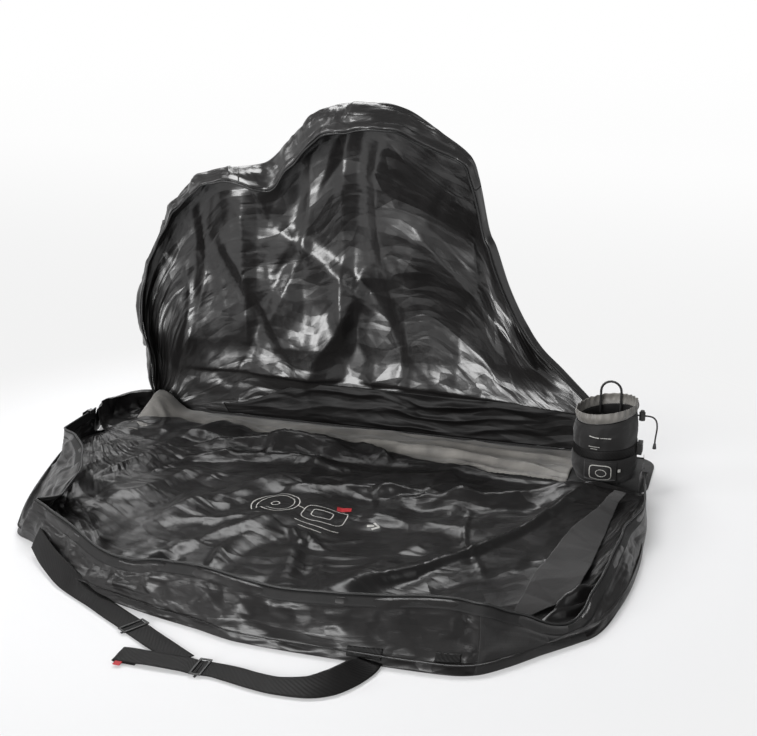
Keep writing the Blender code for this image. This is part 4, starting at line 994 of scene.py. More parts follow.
def makeZip(name, low, slope, body, tapeNode, coilNode, seed):
    # tape that carries on from the wall's top edge along slope
    width = zipTapeSizes["width"]
    run = distances(low)
    across = unit(np.cross(np.gradient(low, axis=0), slope))
    calm = smooth((np.minimum(run, run[-1] - run) - 0.14) / 0.08)       # the sliders run on flat tape
    ripple = zipTapeSizes["ripple"] * smoothNoise(run, run * 0, 0.05, seed) * calm
    points = np.array([low + slope * (zipTapeSizes["gap"] + width * t) + across * (ripple * t)[:, None]
                       for t in rowsOf(zipTapeSizes["rows"])])
    clothPiece(name + "_knit", points, tapeCloth, body, [tapeNode], zipTapeSizes["thickness"],
               "webbing", 0.0)
    line = points[-1] + slope * (zipTapeSizes["coil"] + 0.0003)
    tubePiece(name + "_nylon", line, zipTapeSizes["coil"], 8, nylonCoil, "plastic", body, coilNode)


def tubePiece(name, line, radius, sides, material, slot, body, node):
    # a round closed tube swept along a line of points
    ahead = unit(np.gradient(line, axis=0))
    side = np.cross(ahead[0], (0, 0, 1) if abs(ahead[0][2]) < 0.9 else (0, 1, 0))
    bm = bmesh.new()
    previous = None
    for point, way in zip(line, ahead):
        side = unit(side - way * side.dot(way))
        other = np.cross(way, side)
        ring = bmesh.ops.create_circle(bm, cap_ends=False, segments=sides, radius=1)["verts"]
        for k, vert in enumerate(ring):
            angle = 2 * math.pi * k / sides
            vert.co = point + (side * math.cos(angle) + other * math.sin(angle)) * radius
        edges = list({edge for vert in ring for edge in vert.link_edges})
        if previous:
            bmesh.ops.bridge_loops(bm, edges=previous + edges)
        else:
            bmesh.ops.contextual_create(bm, geom=edges)
        previous = edges
    bmesh.ops.contextual_create(bm, geom=previous)
    bmesh.ops.recalc_face_normals(bm, faces=bm.faces)
    return addPiece(name, meshOf(name, bm, 50), material, slot, body, node)


def makeFrontZip():
    places = np.linspace(0, frontLast, frontLast * 8 + 1)
    feet, tops = frontFeet(places), frontTops(places)
    makeZip("front_zip", tops + outwards(feet) * 0.0008, tapeSlope(places), "front_half", "front_zip_tape",
            "front_zip_coil", 61)


makeFrontZip()
print("front zip done")


# Front half: the stiffer cloth folded up beside the pouch

reinforcement = {
    # its two long edges: shares of half the base's length and of the depth, then how far each is lifted
    "left": [(0.900, 0.055, 0.55), (0.872, 0.20, 0.95), (0.800, 0.425, 1.0), (0.757, 0.64, 0.95),
             (0.738, 0.775, 0.7)],
    "right": [(0.940, 0.055, 0.5), (0.915, 0.19, 0.35), (0.908, 0.38, 0.2), (0.893, 0.57, 0.3),
              (0.768, 0.785, 0.5)],
    "rise": 0.040,
    "crumple": [(0.080, 0.006, 71, 66, 2.4), (0.034, 0.0028, 72, 40, 1.8)],
    "columns": 50, "rows": 180,
}


def makeReinforcement():
    places = np.linspace(0, len(reinforcement["left"]) - 1, reinforcement["rows"])
    left, right = curveAt(reinforcement["left"], places), curveAt(reinforcement["right"], places)
    points = []
    for t in rowsOf(reinforcement["columns"]):
        row = left + (right - left) * t
        height = cloth + 0.001 + row[:, 2] * reinforcement["rise"]
        points.append(np.column_stack([*onFloor(row[:, 0], row[:, 1]), height]))
    points = np.array(points).transpose(1, 0, 2)[::-1]
    x, y = points[..., 0], points[..., 1]
    crease = crumple(x, y, reinforcement["crumple"])
    points[..., 2] += np.maximum(crease * (0.25 + 0.75 * smooth(t * 5)) + 0.003, -0.001)
    points[..., 0] += 0.003 * smoothNoise(x, y, 0.07, 75)
    clothPiece("front_reinforcement_cloth", points, stiffCloth, "front_half", ["front_reinforcement"],
               0.0012, "canvas")


makeReinforcement()
print("reinforcement done")


# Back half: the standing drape with its rim, foot band and zip

backPanel = {
    "columns": 270, "rows": 165,
    "clearance": 0.15,               # metres back for each metre of height
    "billow": 0.035, "lean": 0.05, "foldDepth": 0.012, "folds": 4.5, "slant": 0.06,
    "hemHeight": 0.118, "hemDrop": 0.07, "hemOut": 0.011,      # its lower hem, above the pleated band
    "foldHeight": 0.018, "foldSides": (0.034, 0.11),
    # main folds: from x, z to x, z in metres, then a share of the height
    "mainFolds": [
        (-0.24, 0.80, -0.36, 0.28, 0.9), (-0.129, 0.80, -0.16, 0.20, 1.0), (-0.031, 0.84, 0.02, 0.24, 0.9),
        (0.050, 0.84, 0.20, 0.40, 0.9), (0.145, 0.80, 0.30, 0.38, 1.0), (0.039, 0.56, 0.42, 0.15, 1.1),
        (0.215, 0.60, 0.50, 0.16, 1.1), (-0.423, 0.68, -0.44, 0.20, 1.0), (-0.57, 0.62, -0.63, 0.14, 0.9),
        (-0.34, 0.53, -0.08, 0.32, 0.9), (-0.50, 0.50, -0.30, 0.16, 0.8), (-0.10, 0.46, -0.26, 0.14, 0.8),
    ],
    "facets": [(0.15, 0.013, 61, 2.6), (0.058, 0.0080, 63, 3.6), (0.026, 0.0022, 65, 2.6)],
    "gap": 0.0006,                   # between its foot and the base
    "warp": 0.03, "bandGap": 0.004,      # how far it stands back behind the pleated band
}
rim = {
    "width": 0.046, "tuck": 0.020, "hoodTuck": 0.048, "waver": 0.005, "rows": 22,
    "centre": (-0.3, 0.4),           # shares of half the length and of the height
    "narrowing": (0.54, 0.72), "narrow": 0.12,
    "crumple": [(0.060, 0.0075, 0, 66, 1.6), (0.026, 0.0042, 1, 14, 2.0), (0.012, 0.0012, 2, 60, 1.5)],
    "splits": (16 / 44, 31 / 44),    # where the rim's three lengths are sewn together
}


def backLimit(z):
    # as far back as the cloth may stand and still clear the floor when the half is folded down
    return halfWidth + backPanel["gap"] + backPanel["clearance"] * z


def backBase(u, v):
    # the plain back panel: u along its edge, v from the fold up to the edge
    edge = curveAt(backEdge, u.reshape(-1) * backLast).reshape(*u.shape, 2)
    edgeX, edgeZ = edge[..., 0] * halfLength, edge[..., 1] * backHeight
    left, right = backEdge[0][0] * halfLength, backEdge[-1][0] * halfLength
    lowX = left + (right - left) * u
    x = lowX + (edgeX - lowX) * v
    z = cloth + (edgeZ - cloth) * v
    climb = np.minimum(1, z / backHeight)
    wave = np.sin(2 * math.pi * backPanel["folds"] * (u + backPanel["slant"] * v))
    y = halfWidth + backPanel["gap"] + backPanel["billow"] * np.sin(math.pi * climb)
    y = y + backPanel["foldDepth"] * np.minimum(1, 4 * climb) * wave - backPanel["lean"] * climb ** 2
    y = np.where(climb < 0.08, np.maximum(y, halfWidth + backPanel["gap"]), y)
    return np.stack([x, np.minimum(y, backLimit(0.6 * z)), z], axis=-1)


def makeBackPanel():
    u, v = np.meshgrid(rowsOf(backPanel["columns"]), rowsOf(backPanel["rows"]))
    points = backBase(u, v)
    x, z = points[..., 0], points[..., 2]
    ease = np.clip(np.minimum(8 * (0.93 - v), (z - 0.15) / 0.06), 0, 1)
    depth = mainFolds(x, z, backPanel["mainFolds"], backPanel["foldHeight"], *backPanel["foldSides"]) * ease
    warpX = x + backPanel["warp"] * smoothNoise(x, z, 0.3, 85)
    warpZ = z + backPanel["warp"] * smoothNoise(x, z, 0.3, 86)
    right = smooth((x + 0.02) / 0.16) * smooth((0.62 - z) / 0.14)
    for size, height, seed, stretch in backPanel["facets"]:
        depth += (1 - right) * facets(warpX, warpZ, size, height, seed, 84, stretch)
        depth += right * 0.7 * facets(warpX, warpZ, size, height, seed + 1, -56, 1.4 * stretch)
    calm = smooth((1 - v) * 12) * smooth(np.minimum(u, 1 - u) * 22)
    points[..., 1] += (backPanel["bandGap"] * smooth(z / 0.03) - depth * smooth((z - 0.075) / 0.055)) * calm
    hemLine = backPanel["hemHeight"] - backPanel["hemDrop"] * np.clip(x - 0.1, 0, 1)
    hem = smooth((z - hemLine) / 0.009) * smooth((hemLine + 0.09 - z) / 0.09)
    points[..., 1] -= backPanel["hemOut"] * hem * smooth((x + 0.64) / 0.1) * smooth((0.56 - x) / 0.08)
    points[..., 1] = np.minimum(points[..., 1], backLimit(z))
    clothPiece("back_panel_cloth", points, drapeClothPaintedLit, "back_half", ["back_panel"], 0.0006,
               "coated_cloth")


def rimPoint(u, share):
    # cloth that comes forward from the back panel's edge, at a share of its width
    edge = backBase(u, np.ones_like(u))
    centre = np.stack([np.full_like(u, rim["centre"][0] * halfLength), edge[:, 1],
                       np.full_like(u, rim["centre"][1] * backHeight)], axis=-1)
    start, end = rim["narrowing"]
    narrowing = np.clip((u - start) / (end - start), 0, 1)
    hood = smooth((u - 0.34) / 0.08) * smooth((0.68 - u) / 0.08)
    reach = rim["tuck"] + (rim["hoodTuck"] - rim["tuck"]) * hood
    ease = np.minimum(1, 12 * u + 0.3) * (1 - (1 - rim["narrow"]) * narrowing)
    hold = smooth(np.minimum(u, 1 - u) * 20) * share
    waver = wavers(u * 4.6, hold, (211, 213), 0.23, 0.08, 0.7)
    tuck = unit(centre - edge) * (reach * share ** 2 + rim["waver"] * waver[0])[:, None]
    points = edge + tuck * ease[:, None]
    points[:, 1] -= 0.0004 + (rim["width"] * share + rim["waver"] * waver[1]) * ease
    return points, ease


def rimSlope(u):
    # the rim's outer edge and the way that the zip tape leaves it
    near, far = rimPoint(u, 0.5)[0], rimPoint(u, 1.0)[0]
    return far, unit(far - near)


def makeRim(name, start, end, node, seed):
    u = np.linspace(start, end, max(8, round((end - start) * 760)))
    rows, eases = zip(*[rimPoint(u, share) for share in rowsOf(rim["rows"])])
    points, eases = np.array(rows), eases[-1]
    t = rowsOf(rim["rows"])[:, None]
    along = np.repeat(distances(points[0])[None], rim["rows"], axis=0)
    above = t * rim["width"] + along * 0
    rise = crumple(along, above, rim["crumple"], seed) + 0.001
    rise = rise * smooth(t * 4) * (0.3 + 0.7 * smooth((1 - t) * 4)) * eases[None, :]
    normal = unit(np.cross(np.gradient(points, axis=1), np.gradient(points, axis=0)))
    points = points - normal * rise[..., None]
    slope = rimSlope(u)[1]
    hem = [points[-1] + slope * reach - normal[-1] * lift for reach, lift in zipLap]
    points = np.concatenate([points, hem])
    clothPiece(name, points, drapeClothPaintedLit, "back_half", [node], 0.0007,
               "coated_cloth")


def makeBackZip():
    makeZip("back_zip", *rimSlope(rowsOf(44 * 6 + 1)), "back_half", "back_zip_tape", "back_zip_coil", 62)


kick = {
    "span": (7 / 44, 40 / 44), "foot": 0.004, "height": 0.11,
    "pleats": 2.7, "pleatDepth": 0.011, "columns": 260, "rows": 40,
    "taper": 0.3,          # share of its length over which it grows to its full height
    "crumple": [(0.030, 0.0030, 94, -10, 4.0), (0.014, 0.0008, 95, 12, 3.0)],
}


def makeKickStrip():
    u, t = np.meshgrid(np.linspace(*kick["span"], kick["columns"]), rowsOf(kick["rows"]))
    along = (u - kick["span"][0]) / (kick["span"][1] - kick["span"][0])
    level = kick["foot"] + (kick["height"] - kick["foot"]) * t * (0.25 + 0.75 * smooth(along / kick["taper"]))
    edgeZ = curveAt(backEdge, u.reshape(-1) * backLast).reshape(*u.shape, 2)[..., 1] * backHeight
    reach = np.maximum(edgeZ - cloth, 2 * kick["height"])
    points = backBase(u, level / reach)
    x = points[..., 0]
    bend = 2.2 * smoothNoise(x, level, 0.22, 91) + 0.8 * smoothNoise(x, level, 0.09, 92)
    pleat = np.abs(np.sin(math.pi * kick["pleats"] * (t * (0.6 + 0.8 * along) - 0.5 * along) + bend))
    depth = kick["pleatDepth"] * (1 - pleat) * (0.35 + 0.65 * smoothNoise(x, level, 0.1, 93))
    depth += crumple(x, level, kick["crumple"])
    depth *= smooth((1 - t) * 6) * smooth(t * 8) * smooth(along * 8) * smooth((1 - along) * 10)
    points[..., 1] -= 0.0012 + np.maximum(depth, -0.0006)
    clothPiece("back_kick_cloth", points, bandClothPaintedShade, "back_half", ["back_kick_strip"], 0.0008,
               "canvas")


makeBackPanel()
stops = (0, *rim["splits"], 1)
for i, side in enumerate(("left", "top", "right")):
    makeRim("back_rim_" + side, stops[i], stops[i + 1], "back_gusset_" + side, 101 + 10 * i)
makeBackZip()
makeKickStrip()
print("back half done")


# Base: stiff panel, grey lining, seam bindings and the two end folds

baseEdges = {"corner": 0.055, "rim": 0.0016}      # roundings seen from above and from the side


def makeBaseCloth():
    bm = bmesh.new()
    bmesh.ops.create_cube(bm, size=1)
    bmesh.ops.scale(bm, verts=bm.verts, vec=baseHigh - baseLow)
    bmesh.ops.translate(bm, verts=bm.verts, vec=(baseLow + baseHigh) / 2)
    upright = [edge for edge in bm.edges if abs((edge.verts[0].co - edge.verts[1].co).z) > 0.001]
    roundEdges(bm, upright, baseEdges["corner"], 10)
    level = [edge for edge in bm.edges if abs((edge.verts[0].co - edge.verts[1].co).z) < 0.0001]
    roundEdges(bm, level, baseEdges["rim"], 2)
    layer = bm.loops.layers.uv.new("cloth")
    for face in bm.faces:
        for loop in face.loops:
            loop[layer].uv = (loop.vert.co.x, loop.vert.co.y)
    addPiece("base_panel_cloth", meshOf("base_panel_cloth", bm, 45), canvasCloth, "coated_cloth", "base",
             "base_panel")


liningSizes = {
    "columns": 230, "rows": 46,
    "ends": (-0.69, 0.486),
    "gather": 0.005, "gathers": 0.012,     # height of the gathered front edge and metres between gathers
    "flapRise": 0.052,                     # the left end stands up against the back half
    "folds": [
        (-0.10, 0.030, 0.45, -0.010, 0.012, 0.016, 0.020),
        (0.02, -0.012, 0.47, -0.060, 0.014, 0.016, 0.022),
        (0.10, 0.060, 0.47, 0.045, 0.012, 0.020, 0.018),
        (0.18, -0.045, 0.48, -0.085, 0.010, 0.014, 0.016),
        (-0.68, 0.050, -0.60, -0.040, 0.008, 0.020, 0.020),
        (-0.40, 0.020, -0.10, 0.010, 0.008, 0.020, 0.020),
    ],
    "crumple": [(0.034, 0.007, 131, -4, 4.5), (0.016, 0.0026, 132, -10, 2.8)],
}


def makeLining():
    ends = liningSizes["ends"]
    x, t = np.meshgrid(np.linspace(*ends, liningSizes["columns"]), rowsOf(liningSizes["rows"]))
    y = -0.1 + 0.2 * t
    rise = foldHeights(x, y, liningSizes["folds"])
    crease = crumple(x, y, liningSizes["crumple"])
    edge = smooth((0.022 - (y + 0.1)) / 0.022) * smooth((x + 0.2) / 0.2)
    phase = 2 * math.pi * x / liningSizes["gathers"] + 2.5 * smoothNoise(x, x * 0, 0.05, 133)
    gather = (0.6 + 0.4 * np.sin(phase)) * (0.5 + 0.5 * smoothNoise(x, x * 0, 0.03, 134))
    rise += np.maximum(crease, -0.0005) + edge * liningSizes["gather"] * gather
    flap = smooth((ends[0] + 0.10 - x) / 0.09) * (0.25 + 0.75 * smooth(t))
    z = baseTop + 0.0012 + np.maximum(rise, 0) + flap * liningSizes["flapRise"]
    points = np.stack([x, y, z], axis=-1)
    clothPiece("base_lining_cloth", points, liningCloth, "base", ["base_lining"], 0.0005,
               "grey_lining")


def makeBinding(name, node):
    low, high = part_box(node)
    x, t = np.meshgrid(np.linspace(low.x, high.x, 160), rowsOf(7))
    y = low.y + (high.y - low.y) * t
    z = low.z + (high.z - low.z) * np.sqrt(np.clip(1 - (2 * t - 1) ** 2, 0, 1)) * (1 + 0.12 * np.sin(x * 400))
    clothPiece(name, np.stack([x, y, z], axis=-1), canvasCloth, "base", [node], 0.0005,
               "webbing")


leftEnd = {
    # along the end: y, inner edge, knee, top edge and its height, outer foot; the folded-up slider comes down
    # between knee and base, so the cloth stands further out and straighter there
    "stations": [
        (-0.126, -0.668, -0.734, -0.760, 0.074, -0.777), (-0.085, -0.668, -0.748, -0.770, 0.074, -0.784),
        (-0.060, -0.668, -0.767, -0.781, 0.073, -0.791), (-0.035, -0.668, -0.767, -0.781, 0.071, -0.791),
        (0.000, -0.668, -0.746, -0.768, 0.068, -0.785), (0.050, -0.667, -0.732, -0.758, 0.064, -0.774),
        (0.092, -0.665, -0.716, -0.736, 0.060, -0.752), (0.118, -0.664, -0.700, -0.708, 0.052, -0.720),
    ],
    "crumple": [(0.042, 0.010, 141, 62, 1.6), (0.021, 0.0045, 142, -30, 1.6)],
    "columns": 90, "rows": 64,
}


def makeLeftEnd():
    # slack cloth that joins the front half's wall to the foot of the back half
    stations = curveAt(leftEnd["stations"], np.linspace(0, 7, leftEnd["columns"]))
    share = rowsOf(leftEnd["rows"])
    points = []
    for y, inner, knee, top, height, foot in stations:
        profile = curveAt([
            (inner, baseTop + 0.001), (-0.692, baseTop + 0.0014), (knee, 0.011),
            (top + 0.25 * (knee - top), 0.45 * height), (top, height),
            (0.5 * (top + foot) - 0.002, 0.55 * height), (foot, 0.001),
        ], 6 * share)
        points.append(np.column_stack([profile[:, 0], np.full_like(share, y), profile[:, 1]]))
    points = np.array(points).transpose(1, 0, 2)
    y, t = points[..., 1], share[:, None]
    far = 0.22 * t + y * 0
    rise = crumple(y, far, leftEnd["crumple"])
    rise *= smooth(t * 7) * smooth((1 - t) * 12) * smooth((y + 0.122) / 0.02) * smooth((0.118 - y) / 0.015)
    rise *= 1 - smooth((y + 0.09) / 0.02) * smooth((-0.015 - y) / 0.02)
    normal = unit(np.cross(np.gradient(points, axis=0), np.gradient(points, axis=1)))
    points = points + normal * rise[..., None]
    points[..., 2] = np.maximum(points[..., 2], 0.001)
    obj = clothPiece("left_end_cloth", points, outerCloth, None, ["left_end_fold"], 0.0006,
                     "coated_cloth")
    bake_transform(obj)


rightEnd = {
    "height": 0.06, "reach": 0.002, "seam": 0.019,
    "profile": [(0.0, 0.0), (0.6, 0.15), (1.0, 0.5), (0.8, 1.0)],
    "stations": [(-0.96, 1.0, 0.8), (-0.5, 1.0, 1.0), (-0.1, 0.95, 1.0)],
    "columns": 40, "rows": 26,
}


def makeRightEnd():
    # small fold of cloth that stands up beside the pouch
    stations = curveAt(rightEnd["stations"], np.linspace(0, 2, rightEnd["columns"]))
    rows = []
    for out, up in curveAt(rightEnd["profile"], np.linspace(0, 3, rightEnd["rows"])):
        x = halfLength - rightEnd["seam"] + rightEnd["reach"] * stations[:, 1] * out
        z = baseTop + 0.0008 + stations[:, 2] * up * rightEnd["height"]
        rows.append(np.column_stack([x, stations[:, 0] * halfWidth, z]))
    points = np.array(rows)[:, ::-1]
    y, z = points[..., 1], points[..., 2]
    points[..., 0] += 0.004 * facets(y, z, 0.02, 1, 151, 60, 1.6) * smooth(z / 0.02)
    clothPiece("right_end_cloth", points, outerCloth, "base", ["right_end_fold"], 0.0006,
               "coated_cloth")


makeBaseCloth()
makeLining()
for side in ("front", "rear"):
    makeBinding(side + "_seam_tape", side + "_seam_binding")
makeLeftEnd()
makeRightEnd()
print("base done")


# Fork pouch: a small drawstring bag that stands on the base

pouch = {
    "place": (halfLength - 0.115, -0.012),
    "half": (0.074, 0.082), "height": 0.155, "slope": 0.012,
    "meanRadius": 0.078,
    "rings": [(0.0, 0.93), (0.14, 1.0), (0.38, 1.02), (0.62, 1.0), (1.0, 0.98)],
    "collar": 0.026, "gathers": 26, "gatherDepth": 0.0022,
    "bandLevel": 0.0775, "bandHeight": 0.024,
    "crumple": [(0.03, 0.0028, 161, 70, 1.8), (0.014, 0.0012, 162, 20, 1.5)],
    "angles": 144, "levels": 60,
}


def pouchRadius(level):
    share = level / pouch["height"]
    return np.interp(share, [row[0] for row in pouch["rings"]], [row[1] for row in pouch["rings"]])


def pouchPoint(angle, level, grow):
    size = pouchRadius(level)
    x = (pouch["half"][0] * size + grow) * np.cos(angle)
    y = (pouch["half"][1] * size + grow) * np.sin(angle)
    tilt = pouch["slope"] * np.cos(angle) * (level / pouch["height"]) ** 2
    return np.stack([pouch["place"][0] + x, pouch["place"][1] + y, baseTop + 0.0004 + level + tilt], axis=-1)


def ringPiece(name, points, material, node, thickness, slot, extras=None):
    # a closed band of cloth through rings of points, its last column meeting its first
    points = np.concatenate([points, points[:, :1]], axis=1)
    obj = clothPiece(name, points, material, "base", [node], thickness, slot,
                     extras=extras)
    bm = bmesh.new()
    bm.from_mesh(obj.data)
    bmesh.ops.remove_doubles(bm, verts=bm.verts, dist=0.00001)
    bm.to_mesh(obj.data)
    bm.free()
    obj.data.shade_smooth()
    return obj


pouchPrint = [
    # width of the line and its points: x along the bag and height above the base
    (0.0020, boxLine(0.566, 0.036, 0.026, 0.018)),
    (0.0014, ringLine(0.568, 0.035, 0.013, 0.009, count=24)),
    (0.0022, [(0.536, 0.126), (0.560, 0.124)]), (0.0016, [(0.563, 0.124), (0.588, 0.124)]),
    (0.0016, [(0.536, 0.101), (0.562, 0.100)]), (0.0016, [(0.540, 0.095), (0.556, 0.094)]),
    (0.0080, [(0.607, 0.040), (0.613, 0.040)]),
]


def printPouch(cloth):
    # the blank patch sewn low on the pouch, and plain pale marks
    patch = sewnPatch("fork_pouch_blank_patch", "fork_pouch_patch", cloth, "base", (0.5265, -0.1),
                      (0.6035, -0.1), 0.018, 0.066, (0, -1, 0), canvasCloth, "canvas")
    cast = castOn(cloth, (0, -1, 0))
    marks = printStrokes("fork_pouch_print", pouchPrint, whiteInk, "base",
                         lambda x, z: cast((x, -0.1, baseTop + z), 0.0036), "pale_print")
    return [patch, marks]


def makePouch():
    angle, level = np.meshgrid(np.linspace(0, 2 * math.pi, pouch["angles"], endpoint=False),
                               rowsOf(pouch["levels"]) * pouch["height"])
    around = angle * pouch["meanRadius"]
    grow = crumple(around, level, pouch["crumple"]) + 0.002
    belt = np.exp(-((level - pouch["bandLevel"]) / 0.014) ** 2)
    swell = 0.003 * np.sin(math.pi * level / pouch["height"] * 2) ** 2
    seam = smooth((2 * math.pi - angle) * 8) * smooth(angle * 8)
    grow = (grow + swell) * (1 - 0.9 * belt) * smooth(level / 0.02) * smooth((pouch["height"] - level) / 0.01)
    points = pouchPoint(angle, level, np.minimum(grow * seam, 0.006))
    ringPiece("fork_pouch_cloth", points, canvasCloth, "fork_pouch_body", 0.0009, "coated_cloth",
              printPouch)


def makePouchCollar():
    angle, t = np.meshgrid(np.linspace(0, 2 * math.pi, 300, endpoint=False), rowsOf(14))
    around = angle * pouch["meanRadius"]
    ends = smooth(np.minimum(angle, 2 * math.pi - angle) * 4)
    ruffle = 0.55 * np.sin(pouch["gathers"] * angle + 2.0 * smoothNoise(around, around * 0, 0.06, 163) * ends)
    ruffle += 0.45 * smoothNoise(around, t * 0.02, 0.012, 164) * ends
    roll = np.sin(math.pi * np.minimum(1, t * 1.1))
    grow = 0.003 * t + roll * 0.003 + pouch["gatherDepth"] * ruffle * smooth(t * 2.5) - 0.0022
    points = pouchPoint(angle, np.full_like(angle, pouch["height"]), grow)
    points[..., 2] += 0.0008 + pouch["collar"] * t + 0.0010 * ruffle * t
    ringPiece("fork_pouch_collar_cloth", points, liningCloth, "fork_pouch_collar", 0.0006,
              "grey_lining")


def makePouchBand():
    angle, t = np.meshgrid(np.linspace(0, 2 * math.pi, 120, endpoint=False), rowsOf(6))
    level = pouch["bandLevel"] + (t - 0.5) * pouch["bandHeight"]
    grow = 0.0012 + 0.0008 * np.sin(5 * angle) ** 2 + 0.0006 * (1 - (2 * t - 1) ** 2)
    points = pouchPoint(angle, level, grow + 0.0012)
    ringPiece("fork_pouch_band", points, webbingCloth, "fork_pouch_strap", 0.0012, "webbing")


makePouch()
makePouchCollar()
makePouchBand()
print("pouch done")


# Shoulder strap: two lengths of webbing, the folded tail, two glides and the red tab

strap = {
    "width": 0.048, "thickness": 0.0016,
    # middle line of each length: x, y, height of its lower edge, tilt in degrees
    "left": [
        (-0.545, -0.806, 0.016, 62), (-0.500, -0.850, 0.010, 56), (-0.452, -0.890, 0.006, 48),
        (-0.405, -0.922, 0.0032, 30), (-0.355, -0.949, 0.0029, 10), (-0.3039, -0.9781, 0.0028, 0),
        (-0.240, -1.0165, 0.0028, 0), (-0.175, -1.0555, 0.0028, 0), (-0.110, -1.0946, 0.0028, 0),
        (-0.052, -1.1290, 0.0028, 0),
    ],
    "right": [
        (-0.0107, -1.1446, 0.0028, 0), (0.0133, -1.1446, 0.0028, 0), (0.050, -1.1495, 0.0030, 2),
        (0.098, -1.1600, 0.0034, 4), (0.147, -1.1660, 0.0032, 8), (0.196, -1.1640, 0.0030, 20),
        (0.236, -1.1480, 0.0030, 36), (0.262, -1.1180, 0.0030, 46), (0.274, -1.0840, 0.0030, 34),
        (0.278, -1.0500, 0.0030, 12), (0.278, -1.0230, 0.0020, 2),
    ],
    "tail": [
        (-0.012, -1.1446, 0.0028, 0), (-0.024, -1.1446, 0.0029, 0), (-0.045, -1.1450, 0.0052, 0),
        (-0.100, -1.1452, 0.0056, 1), (-0.150, -1.1450, 0.0052, -1), (-0.172, -1.1446, 0.0049, 0),
        (-0.1760, -1.1446, 0.0042, 0), (-0.1765, -1.1446, 0.0034, 0), (-0.1745, -1.1446, 0.0024, 0),
        (-0.170, -1.1446, 0.0018, 0), (-0.130, -1.1460, 0.0018, 0),
    ],
}


def bandPoints(table, count, seed):
    # both edges and the crown of a length of webbing
    rows = curveAt(table, np.linspace(0, len(table) - 1, count))
    middle, tilt = rows[:, :3], np.radians(rows[:, 3])
    run = np.gradient(middle, axis=0)
    run[:, 2] = 0
    run = unit(run)
    cross = np.column_stack([-run[:, 1] * np.cos(tilt), run[:, 0] * np.cos(tilt), np.sin(tilt)])
    far = np.concatenate([[0], np.cumsum(np.linalg.norm(np.diff(middle, axis=0), axis=1))])
    lift = np.column_stack([far * 0, far * 0, np.abs(np.sin(tilt)) * strap["width"] / 2])
    normal = np.cross(run, cross)
    points = []
    for t in np.linspace(-0.5, 0.5, 13):
        wave = 0.0009 * smoothNoise(far, far * 0 + t * 0.08, 0.045, seed) + 0.0005 * (0.25 - t * t)
        wave = np.maximum(wave, 0)
        points.append(middle + lift + cross * (t * strap["width"]) + normal * wave[:, None])
    return np.array(points)


def makeWebbing(name, table, count, node, seed):
    return clothPiece(name, bandPoints(table, count, seed), webbingCloth, None, [node], strap["thickness"],
                      "webbing", 1.0)


# a moulded frame round the webbing: its two cross bars lie on top, its middle bar underneath
glide = {
    "columns": (-0.012, -0.0078, 0.0078, 0.012), "rows": (-0.0284, -0.0245, 0.0245, 0.0284),
    "height": 0.0026, "rounding": 0.0009, "level": 0.0048,
    "bar": (0.0042, 0.0575, 0.0016), "barLevel": -0.0038,
}


def makeGlide(name, node, place, heading, body):
    bm = bmesh.new()
    bmesh.ops.create_grid(bm, x_segments=3, y_segments=3, size=0.5)
    for i, vert in enumerate(bm.verts):
        vert.co.x, vert.co.y = glide["columns"][i % 4], glide["rows"][i // 4]
    middle = [face for face in bm.faces if face.calc_center_median().length < 0.002]
    bmesh.ops.delete(bm, geom=middle, context="FACES")
    made = bmesh.ops.extrude_face_region(bm, geom=list(bm.faces))["geom"]
    top = [item for item in made if isinstance(item, bmesh.types.BMVert)]
    bmesh.ops.translate(bm, verts=top, vec=(0, 0, glide["height"]))
    bmesh.ops.recalc_face_normals(bm, faces=bm.faces)
    roundEdges(bm, sharpEdges(bm, 1), glide["rounding"])
    bar = bmesh.ops.create_cube(bm, size=1)["verts"]
    bmesh.ops.scale(bm, verts=bar, vec=glide["bar"])
    bmesh.ops.translate(bm, verts=bar, vec=(0, 0, glide["barLevel"]))
    turn = Matrix.Translation((*place, glide["level"])) @ Matrix.Rotation(math.radians(heading), 4, "Z")
    bmesh.ops.transform(bm, matrix=turn, verts=bm.verts)
    addPiece(name, meshOf(name, bm, 40), plastic, "plastic", body, node)


left = makeWebbing("strap_left_webbing", strap["left"], 160, "strap_left", 171)
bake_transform(left)
right = makeWebbing("strap_right_webbing", strap["right"], 150, "strap_right", 172)
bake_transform(right)
tail = makeWebbing("strap_tail_webbing", strap["tail"], 130, "strap_tail", 173)
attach(tail, "shoulder_strap")
makeGlide("strap_running_slide", "strap_running_glide", (-0.196, -1.0430), -31, "strap_glide")
makeGlide("strap_end_slide", "strap_end_glide", (-0.0107, -1.1446), 0, "shoulder_strap")
print("shoulder strap done")


# Drawcord and the bead at its end

drawcord = {
    "radius": 0.002,
    "bead": {"wide": 0.005, "narrow": 0.003, "length": 0.014, "gap": 0.0004, "rounding": 0.0012},
    "route": [
        (0.6380, -0.012, 0.1650), (0.6440, -0.012, 0.1650), (0.6500, -0.012, 0.1650),
        (0.6560, -0.012, 0.1650), (0.6620, -0.012, 0.1650), (0.6680, -0.0123, 0.1648),
        (0.6740, -0.0128, 0.1638), (0.6793, -0.0135, 0.1612), (0.6833, -0.0143, 0.1568), (0.6857, -0.0150, 0.1510),
        (0.6868, -0.0156, 0.1446), (0.6871, -0.0160, 0.1380), (0.6868, -0.0163, 0.1314),
        (0.6862, -0.0165, 0.1248), (0.6855, -0.0166, 0.1182), (0.6848, -0.0167, 0.1116),
        (0.6843, -0.0168, 0.1050), (0.6840, -0.0168, 0.0990),
    ],
}


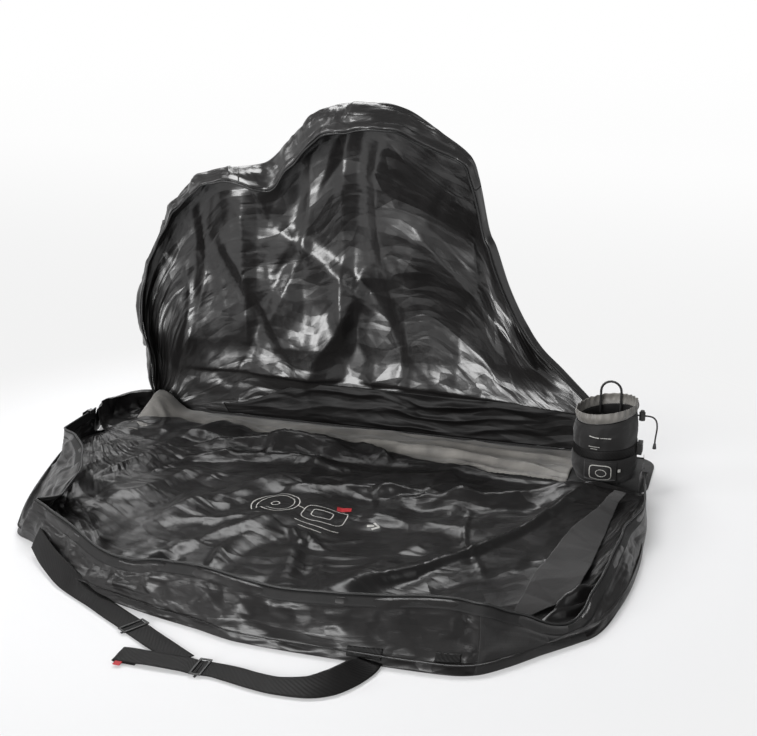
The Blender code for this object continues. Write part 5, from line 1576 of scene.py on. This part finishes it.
def makeBead():
    bead = drawcord["bead"]
    bm = bmesh.new()
    bmesh.ops.create_cone(bm, cap_ends=True, segments=24, radius1=bead["wide"], radius2=bead["narrow"],
                          depth=bead["length"])
    roundEdges(bm, sharpEdges(bm, 0.8), bead["rounding"])
    x, y, z = drawcord["route"][-1]
    bmesh.ops.translate(bm, verts=bm.verts, vec=(x, y, z - bead["gap"] - bead["length"] / 2))
    return addPiece("drawcord_end_bead", meshOf("drawcord_end_bead", bm, 40), plastic, "plastic", "base",
                    "drawcord_bead")


def makeDrawcord():
    route = curveAt(drawcord["route"], np.linspace(0, len(drawcord["route"]) - 1, 69))
    cord = tubePiece("drawcord_braid", route, drawcord["radius"], 12, braid, "webbing", "base", "drawcord")
    float(distances(drawcord["route"])[-1])
    [tuple(point) for point in route]
    makeBead()


lockSpring = {
    "wire": 0.0003, "turns": 3, "sides": 6, "perTurn": 24,
    "travel": 0.002,       # how far the plunger is pressed in
}


def makeLockSpring():
    # wire spring under the cord lock's plunger
    low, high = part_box("cord_lock_spring")
    wire = lockSpring["wire"]
    middle = (low + high) / 2
    radius = (high.x - low.x) / 2 - wire
    count = lockSpring["turns"] * lockSpring["perTurn"]
    turns = np.linspace(0, 2 * math.pi * lockSpring["turns"], count + 1)
    line = np.column_stack([middle.x + radius * np.cos(turns), middle.y + radius * np.sin(turns),
                            np.linspace(low.z + wire, high.z - wire, count + 1)])
    obj = tubePiece("lock_spring_wire", line, wire, lockSpring["sides"], steel, "spring_steel", "cord_lock",
                    "cord_lock_spring")
    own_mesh(obj)


makeDrawcord()
makeLockSpring()
print("drawcord done")


# Finishes of the pieces that keep the frame's own shape

finishes = {"fork_pouch_loop": braid, "strap_tab": redTab}
for node in ("zip_slider_left", "zip_slider_right", "zip_pull_left", "zip_pull_right"):
    finishes[node] = zinc
for node in ("fork_pouch_buckle", "cord_lock_body", "cord_lock_plunger"):
    finishes[node] = plastic
for node, material in finishes.items():
    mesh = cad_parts[node].data
    mesh.materials.clear()
    mesh.materials.append(material)
print("frame pieces finished")
